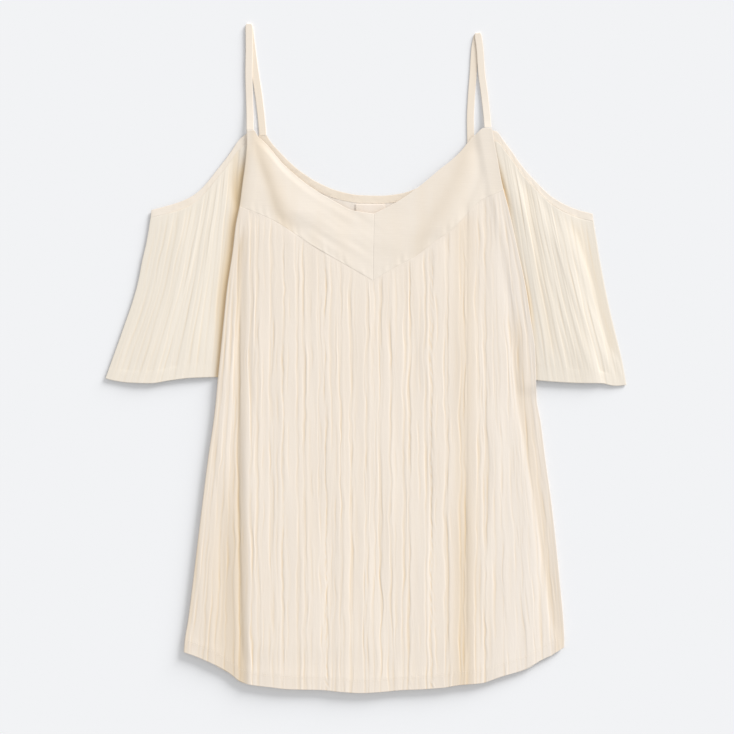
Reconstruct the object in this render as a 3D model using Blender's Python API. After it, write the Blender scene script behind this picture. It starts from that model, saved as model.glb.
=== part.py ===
"""A cold-shoulder blouse in ivory crinkle cloth, laid flat on its back panel.

The blouse lies in the XY plane with its neck towards +Y and its underside on z = 0.
The origin is under the middle of the whole garment. "left" and "right" are as seen from above.
Sizes below are in millimetres, and each mesh is written in metres.
"""

import functools
import math

import bmesh
import bpy

MM = 0.001

# Cloth and the gaps between the layers
WALL = 1.2  # cloth of every panel, crinkle left out
BAND_WALL = 1.3  # folded binding on the cold-shoulder edges
BINDING_WALL = 1.5  # folded binding on the back neckline
STRAP_WALL = 1.4
LABEL_WALL = 1.0
SEAM_GAP = 0.4  # between two pieces sewn edge to edge
LAYER_GAP = 0.3  # between two layers that lie on each other
BACK_TOP = WALL  # upper side of the back panel, which lies on the ground

# Heights of the lying garment
LOFT_HEIGHT = 4.6  # inner side of the front, away from its edges
OVER_SLEEVE = 3.3  # inner side of the front where a sleeve is tucked under it
SLEEVE_INNER = 1.6  # inner side of a sleeve's upper layer, at its tucked edge
SLEEVE_LOFT = 1.5  # how much higher that side is in the middle of the sleeve
TUCK = 13.0  # width of the tucked strip along the armhole

# Widths along the edges
HEM_DEPTH = 17.0
EDGE_RISE = 1.6  # how high the front rises just inside its sides and hem
EDGE_CURL = 3.2  # width of that curled edge
HEM_STEP = 0.5  # how much the doubled hem stands above the single cloth
SLEEVE_HEM_DEPTH = 14.0
BAND_WIDTH = 8.5
STRAP_WIDTH = 7.8
LABEL_SIZE = (32.0, 20.0)
LABEL_TOP = 168.6
CENTRE_FRONT = 7.7  # x of the centre-front seam at the yoke's point
CENTRE_NECK = (8.8, 157.9)  # bottom of the neckline's V
BINDING_STEPS = 32  # straight pieces along the back neck binding

# Outline of the worn front, from the straps down: y, left x, right x
FRONT_SIDES = [
    # y, left, right
    (252.0, -131.2, 138.2),
    (238.0, -131.0, 140.6),
    (217.0, -132.4, 144.6),
    (192.0, -135.6, 149.2),
    (166.0, -139.0, 155.8),
    (146.0, -143.0, 160.4),
    (118.0, -146.3, 166.6),
    (74.0, -152.9, 176.0),
    (41.0, -156.3, 181.0),
    (8.0, -159.6, 185.6),
    (-26.0, -163.0, 186.8),
    (-47.0, -164.9, 187.6),
    (-69.0, -167.4, 191.6),
    (-113.0, -173.8, 197.2),
    (-157.0, -179.4, 203.4),
    (-201.0, -184.7, 208.4),
    (-245.0, -190.0, 212.7),
    (-289.0, -195.6, 216.8),
    (-311.0, -199.2, 217.8),
    (-324.0, -200.2, 217.8),
]

# Bottom edge of the body: x, y
HEM = [
    (-200.6, -323.5),
    (-193.0, -326.0),
    (-171.0, -335.0),
    (-160.0, -340.5),
    (-149.0, -347.2),
    (-138.0, -355.6),
    (-127.0, -359.3),
    (-105.0, -362.0),
    (-83.0, -364.3),
    (-50.0, -365.0),
    (-28.0, -367.1),
    (-6.0, -368.4),
    (16.0, -367.3),
    (38.0, -365.2),
    (60.0, -364.3),
    (82.0, -362.8),
    (104.0, -359.5),
    (126.0, -357.8),
    (148.0, -350.6),
    (170.0, -344.2),
    (181.0, -339.2),
    (192.0, -332.8),
    (203.0, -327.4),
    (214.0, -320.8),
    (218.4, -318.0),
]

# Seam between the yoke and the front panel, in two halves that meet in the point: x, y
SEAM_LEFT = [(-139.0, 165.8), (-122.0, 159.2), (-101.0, 150.0), (-60.5, 124.0), (-12.0, 95.6), (7.7, 84.2)]
SEAM_RIGHT = [
    (7.7, 84.2),
    (27.5, 96.3),
    (54.0, 110.8),
    (80.0, 130.2),
    (95.0, 141.0),
    (111.0, 157.5),
    (125.0, 171.5),
    (151.0, 183.6),
]

# Neckline of the two yoke halves, from the strap to the V: x, y
NECK_LEFT = [
    (-131.2, 249.5),
    (-123.4, 249.5),
    (-118.8, 242.8),
    (-111.0, 235.8),
    (-89.0, 210.6),
    (-62.7, 188.6),
    (-37.4, 173.0),
    (-14.3, 161.4),
    (8.6, 157.9),
]
NECK_RIGHT = [
    (138.2, 252.0),
    (129.6, 252.0),
    (121.0, 245.4),
    (114.2, 239.0),
    (105.6, 228.2),
    (94.1, 217.0),
    (80.0, 205.8),
    (67.1, 194.8),
    (59.0, 188.2),
    (43.0, 176.6),
    (26.4, 166.6),
    (9.0, 157.9),
]

# Back neckline: outer edge of the binding, and the seam under it: x, y
BINDING_EDGE = [
    (-109.0, 244.0),
    (-105.0, 237.4),
    (-94.0, 225.0),
    (-83.0, 213.8),
    (-72.0, 204.6),
    (-50.0, 190.9),
    (-28.0, 182.3),
    (-6.0, 178.4),
    (16.0, 177.8),
    (38.0, 180.2),
    (60.0, 187.8),
    (80.0, 199.0),
    (97.0, 213.0),
    (106.0, 223.0),
    (110.6, 233.5),
]
BINDING_SEAM = [
    (-118.2, 244.0),
    (-112.4, 234.6),
    (-100.6, 219.6),
    (-89.0, 207.6),
    (-77.0, 197.6),
    (-53.6, 183.0),
    (-30.0, 173.8),
    (-7.0, 169.9),
    (16.4, 169.3),
    (40.4, 172.0),
    (63.8, 180.0),
    (85.0, 192.0),
    (103.0, 206.6),
    (115.0, 220.5),
    (120.4, 233.5),
]

# Armhole seams, hidden under the front's edges: x at the strap end and x at the sleeve hem
ARMHOLE_LEVELS = (246.0, -22.0)
ARMHOLE_LEFT = (-128.4, -149.8)
ARMHOLE_RIGHT = (137.0, 179.0)
SLEEVE_END = -27.0  # y just below the sleeve hems, where the back panel widens again
BACK_INSET = 1.0  # how far the back's side edges stay inside the front's

BACK_ROWS = (0.0, 0.1, 0.2, 0.29, 0.38, 0.476, 0.492, 0.56, 0.66, 0.74, 0.82, 0.9, 0.96, 1.0)

# Rows of the front from the yoke down: share of the way up to the yoke, and height above the bottom edge
FRONT_ROWS = [(1 - k / 16, HEM_DEPTH) for k in range(17)] + [(0.0, HEM_DEPTH - 1.2), (0.0, EDGE_CURL), (0.0, 0.0)]

# Sleeves: cold-shoulder edge and hem from the tucked side to the outer fold (x, y), and that fold (y, x)
SLEEVE_LEFT = {
    "seam": (ARMHOLE_LEFT[0] - SEAM_GAP, ARMHOLE_LEFT[1] - SEAM_GAP),
    "shoulder": [
        (-128.6, 248.0),
        (-139.8, 238.8),
        (-147.2, 227.8),
        (-155.1, 216.8),
        (-163.9, 205.8),
        (-172.5, 194.8),
        (-182.4, 184.0),
        (-193.0, 176.2),
        (-204.0, 171.2),
        (-216.0, 167.4),
        (-235.8, 162.0),
    ],
    "hem": [
        (-150.2, -21.5),
        (-171.0, -21.8),
        (-193.0, -22.6),
        (-215.0, -25.2),
        (-237.0, -28.4),
        (-259.0, -27.8),
        (-281.0, -24.6),
        (-286.0, -23.0),
    ],
    "outer": [
        (162.0, -235.8),
        (150.0, -237.4),
        (128.0, -241.0),
        (106.0, -246.0),
        (84.0, -250.2),
        (62.0, -256.2),
        (40.0, -263.7),
        (18.0, -271.4),
        (-4.0, -279.2),
        (-23.0, -286.0),
    ],
}
SLEEVE_RIGHT = {
    "seam": (ARMHOLE_RIGHT[0] + SEAM_GAP, ARMHOLE_RIGHT[1] + SEAM_GAP),
    "shoulder": [
        (136.8, 250.0),
        (142.8, 248.8),
        (151.0, 238.7),
        (159.2, 227.7),
        (166.7, 216.7),
        (175.2, 205.8),
        (185.2, 194.8),
        (194.8, 185.0),
        (203.0, 177.5),
        (214.0, 170.5),
        (225.0, 165.2),
        (236.0, 161.3),
        (249.2, 158.0),
    ],
    "hem": [
        (179.6, -24.0),
        (197.0, -26.0),
        (214.0, -27.2),
        (236.0, -28.2),
        (258.0, -28.4),
        (274.0, -31.2),
        (286.0, -30.4),
    ],
    "outer": [
        (158.0, 249.2),
        (150.0, 250.2),
        (128.0, 253.6),
        (106.0, 257.2),
        (84.0, 261.4),
        (62.0, 265.8),
        (40.0, 270.8),
        (18.0, 276.2),
        (-4.0, 281.4),
        (-30.4, 286.0),
    ],
}

# Crinkle lines that run down each sleeve: share of the width at the shoulder and at the hem, height
SLEEVE_PLEATS = [
    # shoulder, hem, height
    (0.30, 0.20, 0.5),
    (0.38, 0.28, -0.4),
    (0.44, 0.35, 0.7),
    (0.51, 0.43, -0.5),
    (0.57, 0.50, 0.7),
    (0.64, 0.58, -0.5),
    (0.70, 0.65, 0.6),
    (0.76, 0.72, -0.6),
    (0.82, 0.79, 0.6),
    (0.88, 0.86, -0.4),
    (0.93, 0.92, 0.4),
]

# Crinkle lines of the front that run straight down: x at the bust, waist and hem, height (a groove is negative)
PLEAT_LEVELS = (63.0, -124.0, -311.0)
PLEATS = [
    # bust, waist, hem, height
    (-128.2, -128.2, -126.0, 1.1),
    (-123.8, -124.8, -123.2, -0.4),
    (-121.0, -121.6, -119.9, 0.7),
    (-117.2, -118.2, -116.0, -0.8),
    (-105.6, -106.2, -104.5, 0.7),
    (-101.8, -101.8, -99.0, -0.5),
    (-92.4, -93.0, -93.5, 0.5),
    (-89.6, -90.2, -90.2, -0.8),
    (-78.1, -76.4, -75.9, 0.6),
    (-73.7, -73.2, -72.0, -0.4),
    (-69.8, -69.3, -68.8, 0.5),
    (-67.1, -65.4, -64.4, -1.0),
    (-52.8, -52.2, -50.0, 0.6),
    (-44.0, -43.4, -42.4, -0.9),
    (-39.6, -38.5, -38.0, 0.4),
    (-31.9, -28.6, -28.6, 0.7),
    (-25.8, -25.3, -23.6, -0.5),
    (-19.2, -18.2, -19.2, 0.7),
    (-15.4, -14.8, -13.8, -1.0),
    (-1.1, -1.6, -2.8, 0.8),
    (2.8, 2.8, 3.3, -1.0),
    (13.8, 13.8, 14.8, 0.8),
    (17.6, 17.6, 17.0, -0.4),
    (24.2, 25.3, 24.2, 0.7),
    (28.0, 28.0, 30.2, -1.0),
    (41.2, 39.6, 39.0, 0.7),
    (44.0, 42.4, 42.4, -0.4),
    (46.2, 45.1, 44.6, 0.5),
    (49.0, 49.0, 47.8, -1.0),
    (63.2, 63.8, 64.9, 0.8),
    (66.0, 66.6, 67.1, -0.4),
    (68.8, 68.8, 69.3, 0.5),
    (73.7, 72.6, 72.6, -0.8),
    (86.4, 85.2, 85.8, 0.8),
    (90.8, 90.2, 90.8, -1.0),
    (102.3, 102.3, 102.3, 0.9),
    (108.9, 110.0, 107.8, -0.8),
    (119.4, 121.6, 118.8, 1.1),
    (124.3, 125.4, 125.4, -0.4),
    (128.2, 129.2, 128.7, 0.6),
    (132.0, 133.6, 131.4, -1.0),
    (138.6, 139.7, 139.7, 0.4),
]

# Crinkle lines that fan out towards the side seams: share of the way to the edge, height
FAN_LEFT = [(0.88, 0.4), (0.74, -0.5), (0.60, 0.6), (0.44, -0.6), (0.30, 0.8), (0.13, -0.5)]
FAN_RIGHT = [(0.16, -0.7), (0.32, 0.4), (0.45, -0.4), (0.58, 0.5), (0.70, -0.8), (0.80, 0.6), (0.88, -0.8), (0.95, 0.4)]

# Deep folds of the front, as soft troughs along a path: depth, half width, then the path as x by y
DEEP_FOLDS = [
    {"depth": 2.4, "half_width": 6.0, "path": [(150.0, -134.0), (100.0, -138.6), (-100.0, -139.8), (-330.0, -136.0)]},
    {"depth": 2.3, "half_width": 5.5, "path": [(236.0, 129.0), (190.0, 119.0), (158.0, 111.0), (100.0, 109.0), (-330.0, 108.5)]},
    {"depth": 1.3, "half_width": 6.5, "path": [(238.0, -119.0), (212.0, -111.0), (184.0, -100.0), (150.0, -80.0)]},
    {"depth": 1.1, "half_width": 8.0, "path": [(238.0, 122.0), (212.0, 108.0), (186.0, 86.0), (160.0, 52.0)]},
    {"depth": 1.2, "half_width": 7.0, "path": [(40.0, 172.0), (-60.0, 176.0), (-180.0, 190.0), (-310.0, 210.0)]},
]

# Straps, each from the front end over the fold to the back end: x, y, inner height
STRAP_LEFT = {
    "front": [
        (-127.3, 250.0, 3.3),
        (-127.4, 262.0, 2.6),
        (-128.2, 288.0, 1.8),
        (-128.8, 314.0, 1.8),
        (-128.4, 340.0, 1.8),
        (-128.6, 366.4, 1.8),
    ],
    "back": [(-128.6, 366.4), (-125.4, 340.0), (-122.0, 314.0), (-118.0, 288.0), (-115.0, 262.0), (-113.5, 244.4)],
}
STRAP_RIGHT = {
    "front": [
        (133.9, 252.6, 3.3),
        (133.2, 262.0, 2.6),
        (130.4, 288.0, 1.8),
        (127.0, 314.0, 1.8),
        (125.2, 340.0, 1.8),
        (122.8, 356.2, 1.8),
    ],
    "back": [(122.8, 356.2), (119.7, 340.0), (118.0, 314.0), (116.0, 288.0), (114.8, 262.0), (115.2, 234.0)],
}

IVORY = (0.86, 0.78, 0.66, 1.0)
YOKE_IVORY = (0.87, 0.80, 0.70, 1.0)
LABEL_WHITE = (0.90, 0.84, 0.77, 1.0)


def curve(table, at):
    """Value at a place in a table of (place, value) rows, smooth and without overshoot."""
    rows = sorted(table)
    if at <= rows[0][0]:
        return rows[0][1]
    if at >= rows[-1][0]:
        return rows[-1][1]
    slopes = [(b[1] - a[1]) / (b[0] - a[0]) for a, b in zip(rows, rows[1:])]
    k = max(i for i in range(len(rows) - 1) if rows[i][0] <= at)

    def tangent(i):
        if i == 0:
            return slopes[0]
        if i == len(rows) - 1:
            return slopes[-1]
        before, after = slopes[i - 1], slopes[i]
        return 0.0 if before * after <= 0 else 2 * before * after / (before + after)

    width = rows[k + 1][0] - rows[k][0]
    t = (at - rows[k][0]) / width
    value = (2 * t**3 - 3 * t**2 + 1) * rows[k][1] + (3 * t**2 - 2 * t**3) * rows[k + 1][1]
    return value + width * ((t**3 - 2 * t**2 + t) * tangent(k) + (t**3 - t**2) * tangent(k + 1))


def along(points, t):
    """Point at a share t of the way along a smooth line through the given points."""
    lengths = [0.0]
    for a, b in zip(points, points[1:]):
        lengths.append(lengths[-1] + math.dist(a[:2], b[:2]))
    place = t * lengths[-1]
    return tuple(curve([(d, p[axis]) for d, p in zip(lengths, points)], place) for axis in range(len(points[0])))


def ease(t):
    """0 below 0, 1 above 1, and a smooth step between."""
    t = min(1.0, max(0.0, t))
    return t * t * (3 - 2 * t)


def bell(t):
    return math.exp(-t * t)


def mix(a, b, t):
    return a + (b - a) * t


def side_at(y, column):
    return curve([(row[0], row[column]) for row in FRONT_SIDES], y)


def armhole(y, seam):
    """x of a straight armhole seam at y, from its x at the strap end and at the sleeve hem."""
    high, low = ARMHOLE_LEVELS
    return mix(seam[0], seam[1], (high - y) / (high - low))


def back_side(y, column, seam):
    """Side edge of the back panel: along the armhole, then just inside the front's side."""
    inset = BACK_INSET if column == 1 else -BACK_INSET
    return mix(armhole(y, seam), side_at(y, column) + inset, ease((SLEEVE_END - y) / 8))


def seam_height(x):
    """y of the yoke seam at x."""
    return curve(SEAM_LEFT if x <= CENTRE_FRONT else SEAM_RIGHT, x)


def left_edge(y):
    """Left edge of the worn front, yoke and panel alike."""
    return side_at(y, 1)


def right_edge(y):
    """Right edge of the worn front."""
    return side_at(y, 2)


def neck_height(x):
    """y of the front neckline at x."""
    return curve(NECK_LEFT[1:] if x < CENTRE_NECK[0] else NECK_RIGHT[1:], x)


def fold_depth(x, y):
    """How far the deep folds lower the front at a place."""
    depth = 0.0
    for fold in DEEP_FOLDS:
        path = fold["path"]
        high, low = path[0][0], path[-1][0]
        inside = ease((high + 6 - y) / 18) * ease((y - low + 6) / 18)
        middle = curve(path, y)
        depth += fold["depth"] * inside * bell((x - middle) / fold["half_width"])
    return depth


def front_inner(x, y):
    """Height of the inner side of the worn front, yoke and panel alike."""
    side = min(x - left_edge(y), right_edge(y) - x)
    neck = max(0.0, neck_height(x) - y) * 0.75
    hem = max(0.0, y - curve(HEM, x))
    over_sleeve = (1 - ease((side - TUCK) / 14)) * ease((y - SLEEVE_END + 18) / 14)
    near_neck = 1 - ease((neck - 6) / 14)
    over_label = 1.25 * bell((x - CENTRE_NECK[0]) / 30)
    rest = BACK_TOP + LAYER_GAP
    lowest = rest + max((OVER_SLEEVE - rest) * over_sleeve, (BINDING_WALL - WALL + 0.1 + over_label) * near_neck)
    curled = EDGE_RISE * ease(min(side, hem) / EDGE_CURL) * (1 - near_neck)
    share = ease(side / 24) * ease((neck + 3) / 21) * ease(hem / 26)
    lofty = mix(rest + curled, LOFT_HEIGHT, share) - fold_depth(x, y) * ease(side / 10)
    return max(lowest, lofty)


def new_object(name, mesh, colour, roughness):
    mesh.materials.append(cloth_material(name, colour, roughness))
    mesh.shade_smooth()
    mesh.set_sharp_from_angle(angle=math.radians(50))
    body = bpy.data.objects.new(name, mesh)
    bpy.context.scene.collection.objects.link(body)
    return body


def cloth_material(name, colour, roughness):
    material = bpy.data.materials.new(name + "_cloth")
    material.use_nodes = True
    shader = material.node_tree.nodes["Principled BSDF"]
    shader.inputs["Base Color"].default_value = colour
    shader.inputs["Roughness"].default_value = roughness
    shader.inputs["Metallic"].default_value = 0.0
    return material


def sheet(name, outer, inner, kept, colour=IVORY, roughness=0.8):
    """A closed cloth wall between an outer and an inner grid of points, given as rows.

    kept lists the columns of the outer grid that the plainer inner grid has too.
    """
    bm = bmesh.new()
    top = [[bm.verts.new([c * MM for c in p]) for p in row] for row in outer]
    bottom = [[bm.verts.new([c * MM for c in p]) for p in row] for row in inner]
    last_row, last_column, last_kept = len(top) - 1, len(top[0]) - 1, len(kept) - 1
    for i in range(last_row):
        for j in range(last_column):
            bm.faces.new((top[i][j], top[i + 1][j], top[i + 1][j + 1], top[i][j + 1]))
        for k in range(last_kept):
            bm.faces.new((bottom[i][k], bottom[i][k + 1], bottom[i + 1][k + 1], bottom[i + 1][k]))
        bm.faces.new((top[i][0], bottom[i][0], bottom[i + 1][0], top[i + 1][0]))
        bm.faces.new((top[i][-1], top[i + 1][-1], bottom[i + 1][-1], bottom[i][-1]))
    for i in (0, last_row):
        for k in range(last_kept):
            middle = (kept[k] + kept[k + 1]) // 2
            for j in range(kept[k], kept[k + 1]):
                corner = bottom[i][k] if j < middle else bottom[i][k + 1]
                bm.faces.new((top[i][j], top[i][j + 1], corner))
            bm.faces.new((top[i][middle], bottom[i][k], bottom[i][k + 1]))
    bmesh.ops.triangulate(bm, faces=bm.faces[:])
    bmesh.ops.recalc_face_normals(bm, faces=bm.faces[:])
    mesh = bpy.data.meshes.new(name)
    bm.to_mesh(mesh)
    bm.free()
    return new_object(name, mesh, colour, roughness)


def straight_line(row, y):
    """x at y of a crinkle line that runs straight down."""
    return curve(list(zip(PLEAT_LEVELS, row)), y)


def side_fold(y):
    """x at y of the deep fold near the left side."""
    return max(curve(DEEP_FOLDS[0]["path"], y), left_edge(y) + 5)


def crinkle_lines(y):
    """Every crinkle line of the front at y, from left to right: place and height."""
    fold, edge = side_fold(y), left_edge(y)
    lines = [(mix(fold, edge, share), height) for share, height in FAN_LEFT]
    lines.append((fold, -0.6))
    lines.append((max(straight_line(PLEATS[0], y), fold + 4), PLEATS[0][3]))
    lines += [(straight_line(row, y), row[3]) for row in PLEATS[1:]]
    last, edge = lines[-1][0], right_edge(y)
    return lines + [(mix(last, edge, share), height) for share, height in FAN_RIGHT]


def wobble(k, y):
    """The small sideways wave of crinkle line k at y."""
    return 0.55 * math.sin(y / 17 + 2.4 * k) + 0.35 * math.sin(y / 29 + 1.1 * k * k)


@functools.cache
def columns_at(y):
    """Places and crinkle heights across the front at y: each line, and the plain cloth midway to the next."""
    lines = crinkle_lines(y)
    stops = [left_edge(y), *(x for x, _ in lines), right_edge(y)]
    marks = [(stops[0], 0.0), (stops[0] + min(EDGE_CURL, (stops[1] - stops[0]) / 3), 0.0)]
    for k, (x, height) in enumerate(lines):
        room = min(stops[k + 1] - stops[k], stops[k + 2] - stops[k + 1])
        x += wobble(k, y) * min(1.0, room / 4)
        marks.append((mix(marks[-1][0], x, 0.5), 0.0))
        marks.append((x, height * ease(room / 3.5)))
    marks.append((stops[-1] - min(EDGE_CURL, (stops[-1] - stops[-2]) / 3), 0.0))
    marks.append((stops[-1], 0.0))
    return marks


def front_column(j, y):
    """Place and crinkle height of column j of the front at y, between whole millimetres."""
    low = math.floor(y)
    here, above = columns_at(low)[j], columns_at(low + 1)[j]
    return mix(here[0], above[0], y - low), mix(here[1], above[1], y - low)


def front_top(x):
    """y of the front panel's top edge at x, just below the yoke."""
    slope = (seam_height(x + 1) - seam_height(x - 1)) / 2
    return seam_height(x) - SEAM_GAP * math.hypot(1, slope) - 0.2 - 0.6 * bell((x - CENTRE_FRONT) / 6)


def front_panel():
    """The crinkled front below the yoke, with its turned hem."""
    count = len(columns_at(0))
    point = min(range(count), key=lambda j: abs(front_column(j, SEAM_LEFT[-1][1])[0] - CENTRE_FRONT))
    kept = sorted({0, count - 1, *range(1, count, 2), point})
    outer, inner = [], []
    for share, above_hem in FRONT_ROWS:
        row = []
        for j in range(count):
            y = 0.0
            for _ in range(30):
                x, crinkle = front_column(j, y)
                y = mix(curve(HEM, x) + above_hem, front_top(x), share)
            into_seam = 0.25 + 0.75 * ease((seam_height(x) - y) / 14)
            in_hem = above_hem < HEM_DEPTH
            height = front_inner(x, y) + WALL + max(-0.35, crinkle * into_seam * (0.4 if in_hem else 1))
            row.append((x, y, height + (HEM_STEP if in_hem else 0)))
        outer.append(row)
        inner.append([(row[j][0], row[j][1], front_inner(*row[j][:2])) for j in kept])
    return sheet("front_panel", outer, inner, kept)


def yoke(name, neck, seam, edge, centre_top, centre_low):
    """One half of the smooth V yoke, between the neckline and the seam."""
    columns, rows = 22, 7
    outer, inner = [], []
    for i in range(rows):
        v = i / (rows - 1)
        outer_row, inner_row = [], []
        for j in range(columns):
            t = j / (columns - 1)
            high = along(neck, t)
            low_x = mix(seam[0][0], seam[1][0], t)
            low = (low_x, seam_height(low_x))
            if j == columns - 1:
                high, low = centre_top, centre_low
            x, y = mix(high[0], low[0], v), mix(high[1], low[1], v)
            bow = edge(mix(neck[0][1], seam[0][1], v)) - mix(neck[0][0], seam[0][0], v)
            x += bow * (1 - t) ** 3
            base = front_inner(x, y)
            outer_row.append((x, y, base + WALL))
            inner_row.append((x, y, base))
        outer.append(outer_row)
        inner.append(inner_row)
    return sheet(name, outer, inner, list(range(columns)), YOKE_IVORY, 0.75)


def moved_aside(points, distance):
    """The points of a line, each moved to the right of the line's direction."""
    moved = []
    for k, (x, y) in enumerate(points):
        ahead, behind = points[min(k + 1, len(points) - 1)], points[max(k - 1, 0)]
        dx, dy = ahead[0] - behind[0], ahead[1] - behind[1]
        run = math.hypot(dx, dy)
        moved.append((x + dy / run * distance, y - dx / run * distance))
    return moved


def binding_seam():
    """Points along the lower edge of the neck binding."""
    return [along(BINDING_SEAM, j / BINDING_STEPS) for j in range(BINDING_STEPS + 1)]


def back_panel():
    """The back, flat on the ground, with its top edge sewn under the neck binding."""
    seam = moved_aside(binding_seam(), SEAM_GAP)
    tip_left, tip_right = seam[0][1], seam[-1][1] + 6.0
    start, end = armhole(tip_left, ARMHOLE_LEFT), armhole(tip_right, ARMHOLE_RIGHT)
    top_edge = [(start, tip_left), *seam, (end, tip_right)]
    outer, inner = [], []
    for v in BACK_ROWS:
        row = []
        for mark, top in top_edge:
            u = (mark - start) / (end - start)
            low = curve(HEM, mix(FRONT_SIDES[-1][1], FRONT_SIDES[-1][2], u)) + BACK_INSET
            y = mix(top, low, v)
            x = mix(back_side(y, 1, ARMHOLE_LEFT), back_side(y, 2, ARMHOLE_RIGHT), u) if v else mark
            row.append((x, y))
        outer.append([(x, y, BACK_TOP) for x, y in row])
        inner.append([(x, y, 0.0) for x, y in row])
    return sheet("back_panel", outer, inner, list(range(len(top_edge))))


def neck_binding():
    """The narrow folded binding round the back neckline."""
    seam = binding_seam()
    outer, inner = [], []
    for v in (0.0, 0.5, 1.0):
        row = []
        for j, low in enumerate(seam):
            edge = along(BINDING_EDGE, j / BINDING_STEPS)
            row.append((mix(edge[0], low[0], v), mix(edge[1], low[1], v)))
        outer.append([(x, y, BINDING_WALL) for x, y in row])
        inner.append([(x, y, 0.0) for x, y in row])
    return sheet("back_neck_binding", outer, inner, list(range(len(seam))), YOKE_IVORY, 0.75)


def folded_sheet(name, place, widths, rows, wall, inner_height, crinkle, colour, roughness):
    """A sheet folded round its outer side: a flat layer on the ground, the fold, and the upper layer.

    place(t, v) gives the plan point at a share t of the width (0 tucked, 1 outer fold) and v of the length.
    """
    fold_steps = 4
    outer, inner = [], []
    for v in rows:
        edge, before = place(1.0, v), place(0.97, v)
        fold_inner = inner_height(1.0, v)
        fold_outer = fold_inner + wall
        radius = fold_outer / 2
        length = math.dist(place(0.0, v), edge)
        away = [(a - b) / math.dist(edge, before) for a, b in zip(edge, before)]
        last = 1 - radius / length
        centre = place(last, v)
        outer_row, inner_row = [], []
        back = [0.0, 0.25, 0.5, 0.75]
        for t in back:
            x, y = place(t * last, v)
            outer_row.append((x, y, 0.0))
            inner_row.append((x, y, wall))
        for k in range(fold_steps + 1):
            angle = math.pi * (k / fold_steps - 0.5)
            reach = math.cos(angle)
            hollow = (fold_inner - wall) / 2
            outer_row.append(
                (centre[0] + away[0] * radius * reach, centre[1] + away[1] * radius * reach, radius * (1 + math.sin(angle)))
            )
            inner_row.append(
                (centre[0] + away[0] * hollow * reach, centre[1] + away[1] * hollow * reach, wall + hollow * (1 + math.sin(angle)))
            )
        for t, height in reversed(widths(v)[:-1]):
            x, y = place(t * last, v)
            low = inner_height(t, v)
            outer_row.append((x, y, low + wall + max(-0.3, height * crinkle(t, v))))
            inner_row.append((x, y, low))
        outer.append(outer_row)
        inner.append(inner_row)
    return sheet(name, inner, outer, list(range(len(outer[0]))), colour, roughness)


def sleeve_place(cut, top_drop):
    """Plan of a sleeve as a function of width share t and length share v, below the first top_drop mm."""
    shoulder, hem = cut["shoulder"], cut["hem"]
    inner_top, inner_low = shoulder[0][1] - 1.4 * top_drop, hem[0][1]
    outer_top, outer_low = shoulder[-1][1] - top_drop, hem[-1][1]

    def place(t, v):
        high, low = along(shoulder, t), along(hem, t**0.9)
        drop = top_drop * mix(1.4, 1.0, t)
        x, y = mix(high[0], low[0], v), mix(high[1] - drop, low[1], v)
        inner_bow = armhole(mix(inner_top, inner_low, v), cut["seam"]) - mix(shoulder[0][0], hem[0][0], v)
        outer_bow = curve(cut["outer"], mix(outer_top, outer_low, v)) - mix(shoulder[-1][0], hem[-1][0], v)
        return x + mix(inner_bow, outer_bow, t), y

    return place


def sleeve_heights(cut):
    """Height of the inner side of a sleeve's upper layer: low at the tucked strip, the fold and the hem."""
    place = sleeve_place(cut, 0.0)

    def height(t, v):
        length = math.dist(place(0.0, v), place(1.0, v))
        loft = ease((t * length - TUCK) / 22) * ease((1 - t) * length / 26 + 0.25) * (1 - 0.5 * ease((v - 0.8) / 0.2))
        return SLEEVE_INNER + SLEEVE_LOFT * loft * (0.45 + 0.55 * ease(v / 0.15))

    return height


def sleeve(name, cut):
    """One sleeve: back and front layer of one piece of crinkle cloth, with its turned hem."""
    place = sleeve_place(cut, BAND_WIDTH + SEAM_GAP)
    heights = sleeve_heights(cut)
    hem_share = SLEEVE_HEM_DEPTH / 190.0
    rows = [0.0, 0.08] + [0.08 + (0.92 - hem_share - 0.006) * k / 7 for k in range(1, 8)] + [1 - hem_share, 1.0]

    def widths(v):
        lines = [(mix(top, low, v), height) for top, low, height in SLEEVE_PLEATS]
        marks = [(0.0, 0.0), (0.12, 0.0)]
        for t, height in lines:
            marks.append((mix(marks[-1][0], t, 0.5), 0.0))
            marks.append((t, height))
        marks.append((mix(marks[-1][0], 1.0, 0.5), 0.0))
        marks.append((1.0, 0.0))
        return marks

    def crinkle(t, v):
        return (0.2 + 0.8 * ease(v / 0.1)) * (0.35 if v > 1 - hem_share - 0.001 else 1.0) * ease((t - 0.1) / 0.15)

    return folded_sheet(name, place, widths, rows, WALL, heights, crinkle, IVORY, 0.8)


def shoulder_band(name, cut):
    """The narrow folded band along a sleeve's bare-shoulder edge, front and back."""
    whole, below = sleeve_place(cut, 0.0), sleeve_place(cut, BAND_WIDTH)

    def place(t, v):
        high, low = whole(t, 0.0), below(t, 0.0)
        return mix(high[0], low[0], v), mix(high[1], low[1], v)

    def widths(v):
        return [(k / 18, 0.0) for k in range(19)]

    def height(t, v):
        return BAND_WALL + 0.4

    return folded_sheet(name, place, widths, [0.0, 0.5, 1.0], BAND_WALL, height, lambda t, v: 0.0, YOKE_IVORY, 0.75)


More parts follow.
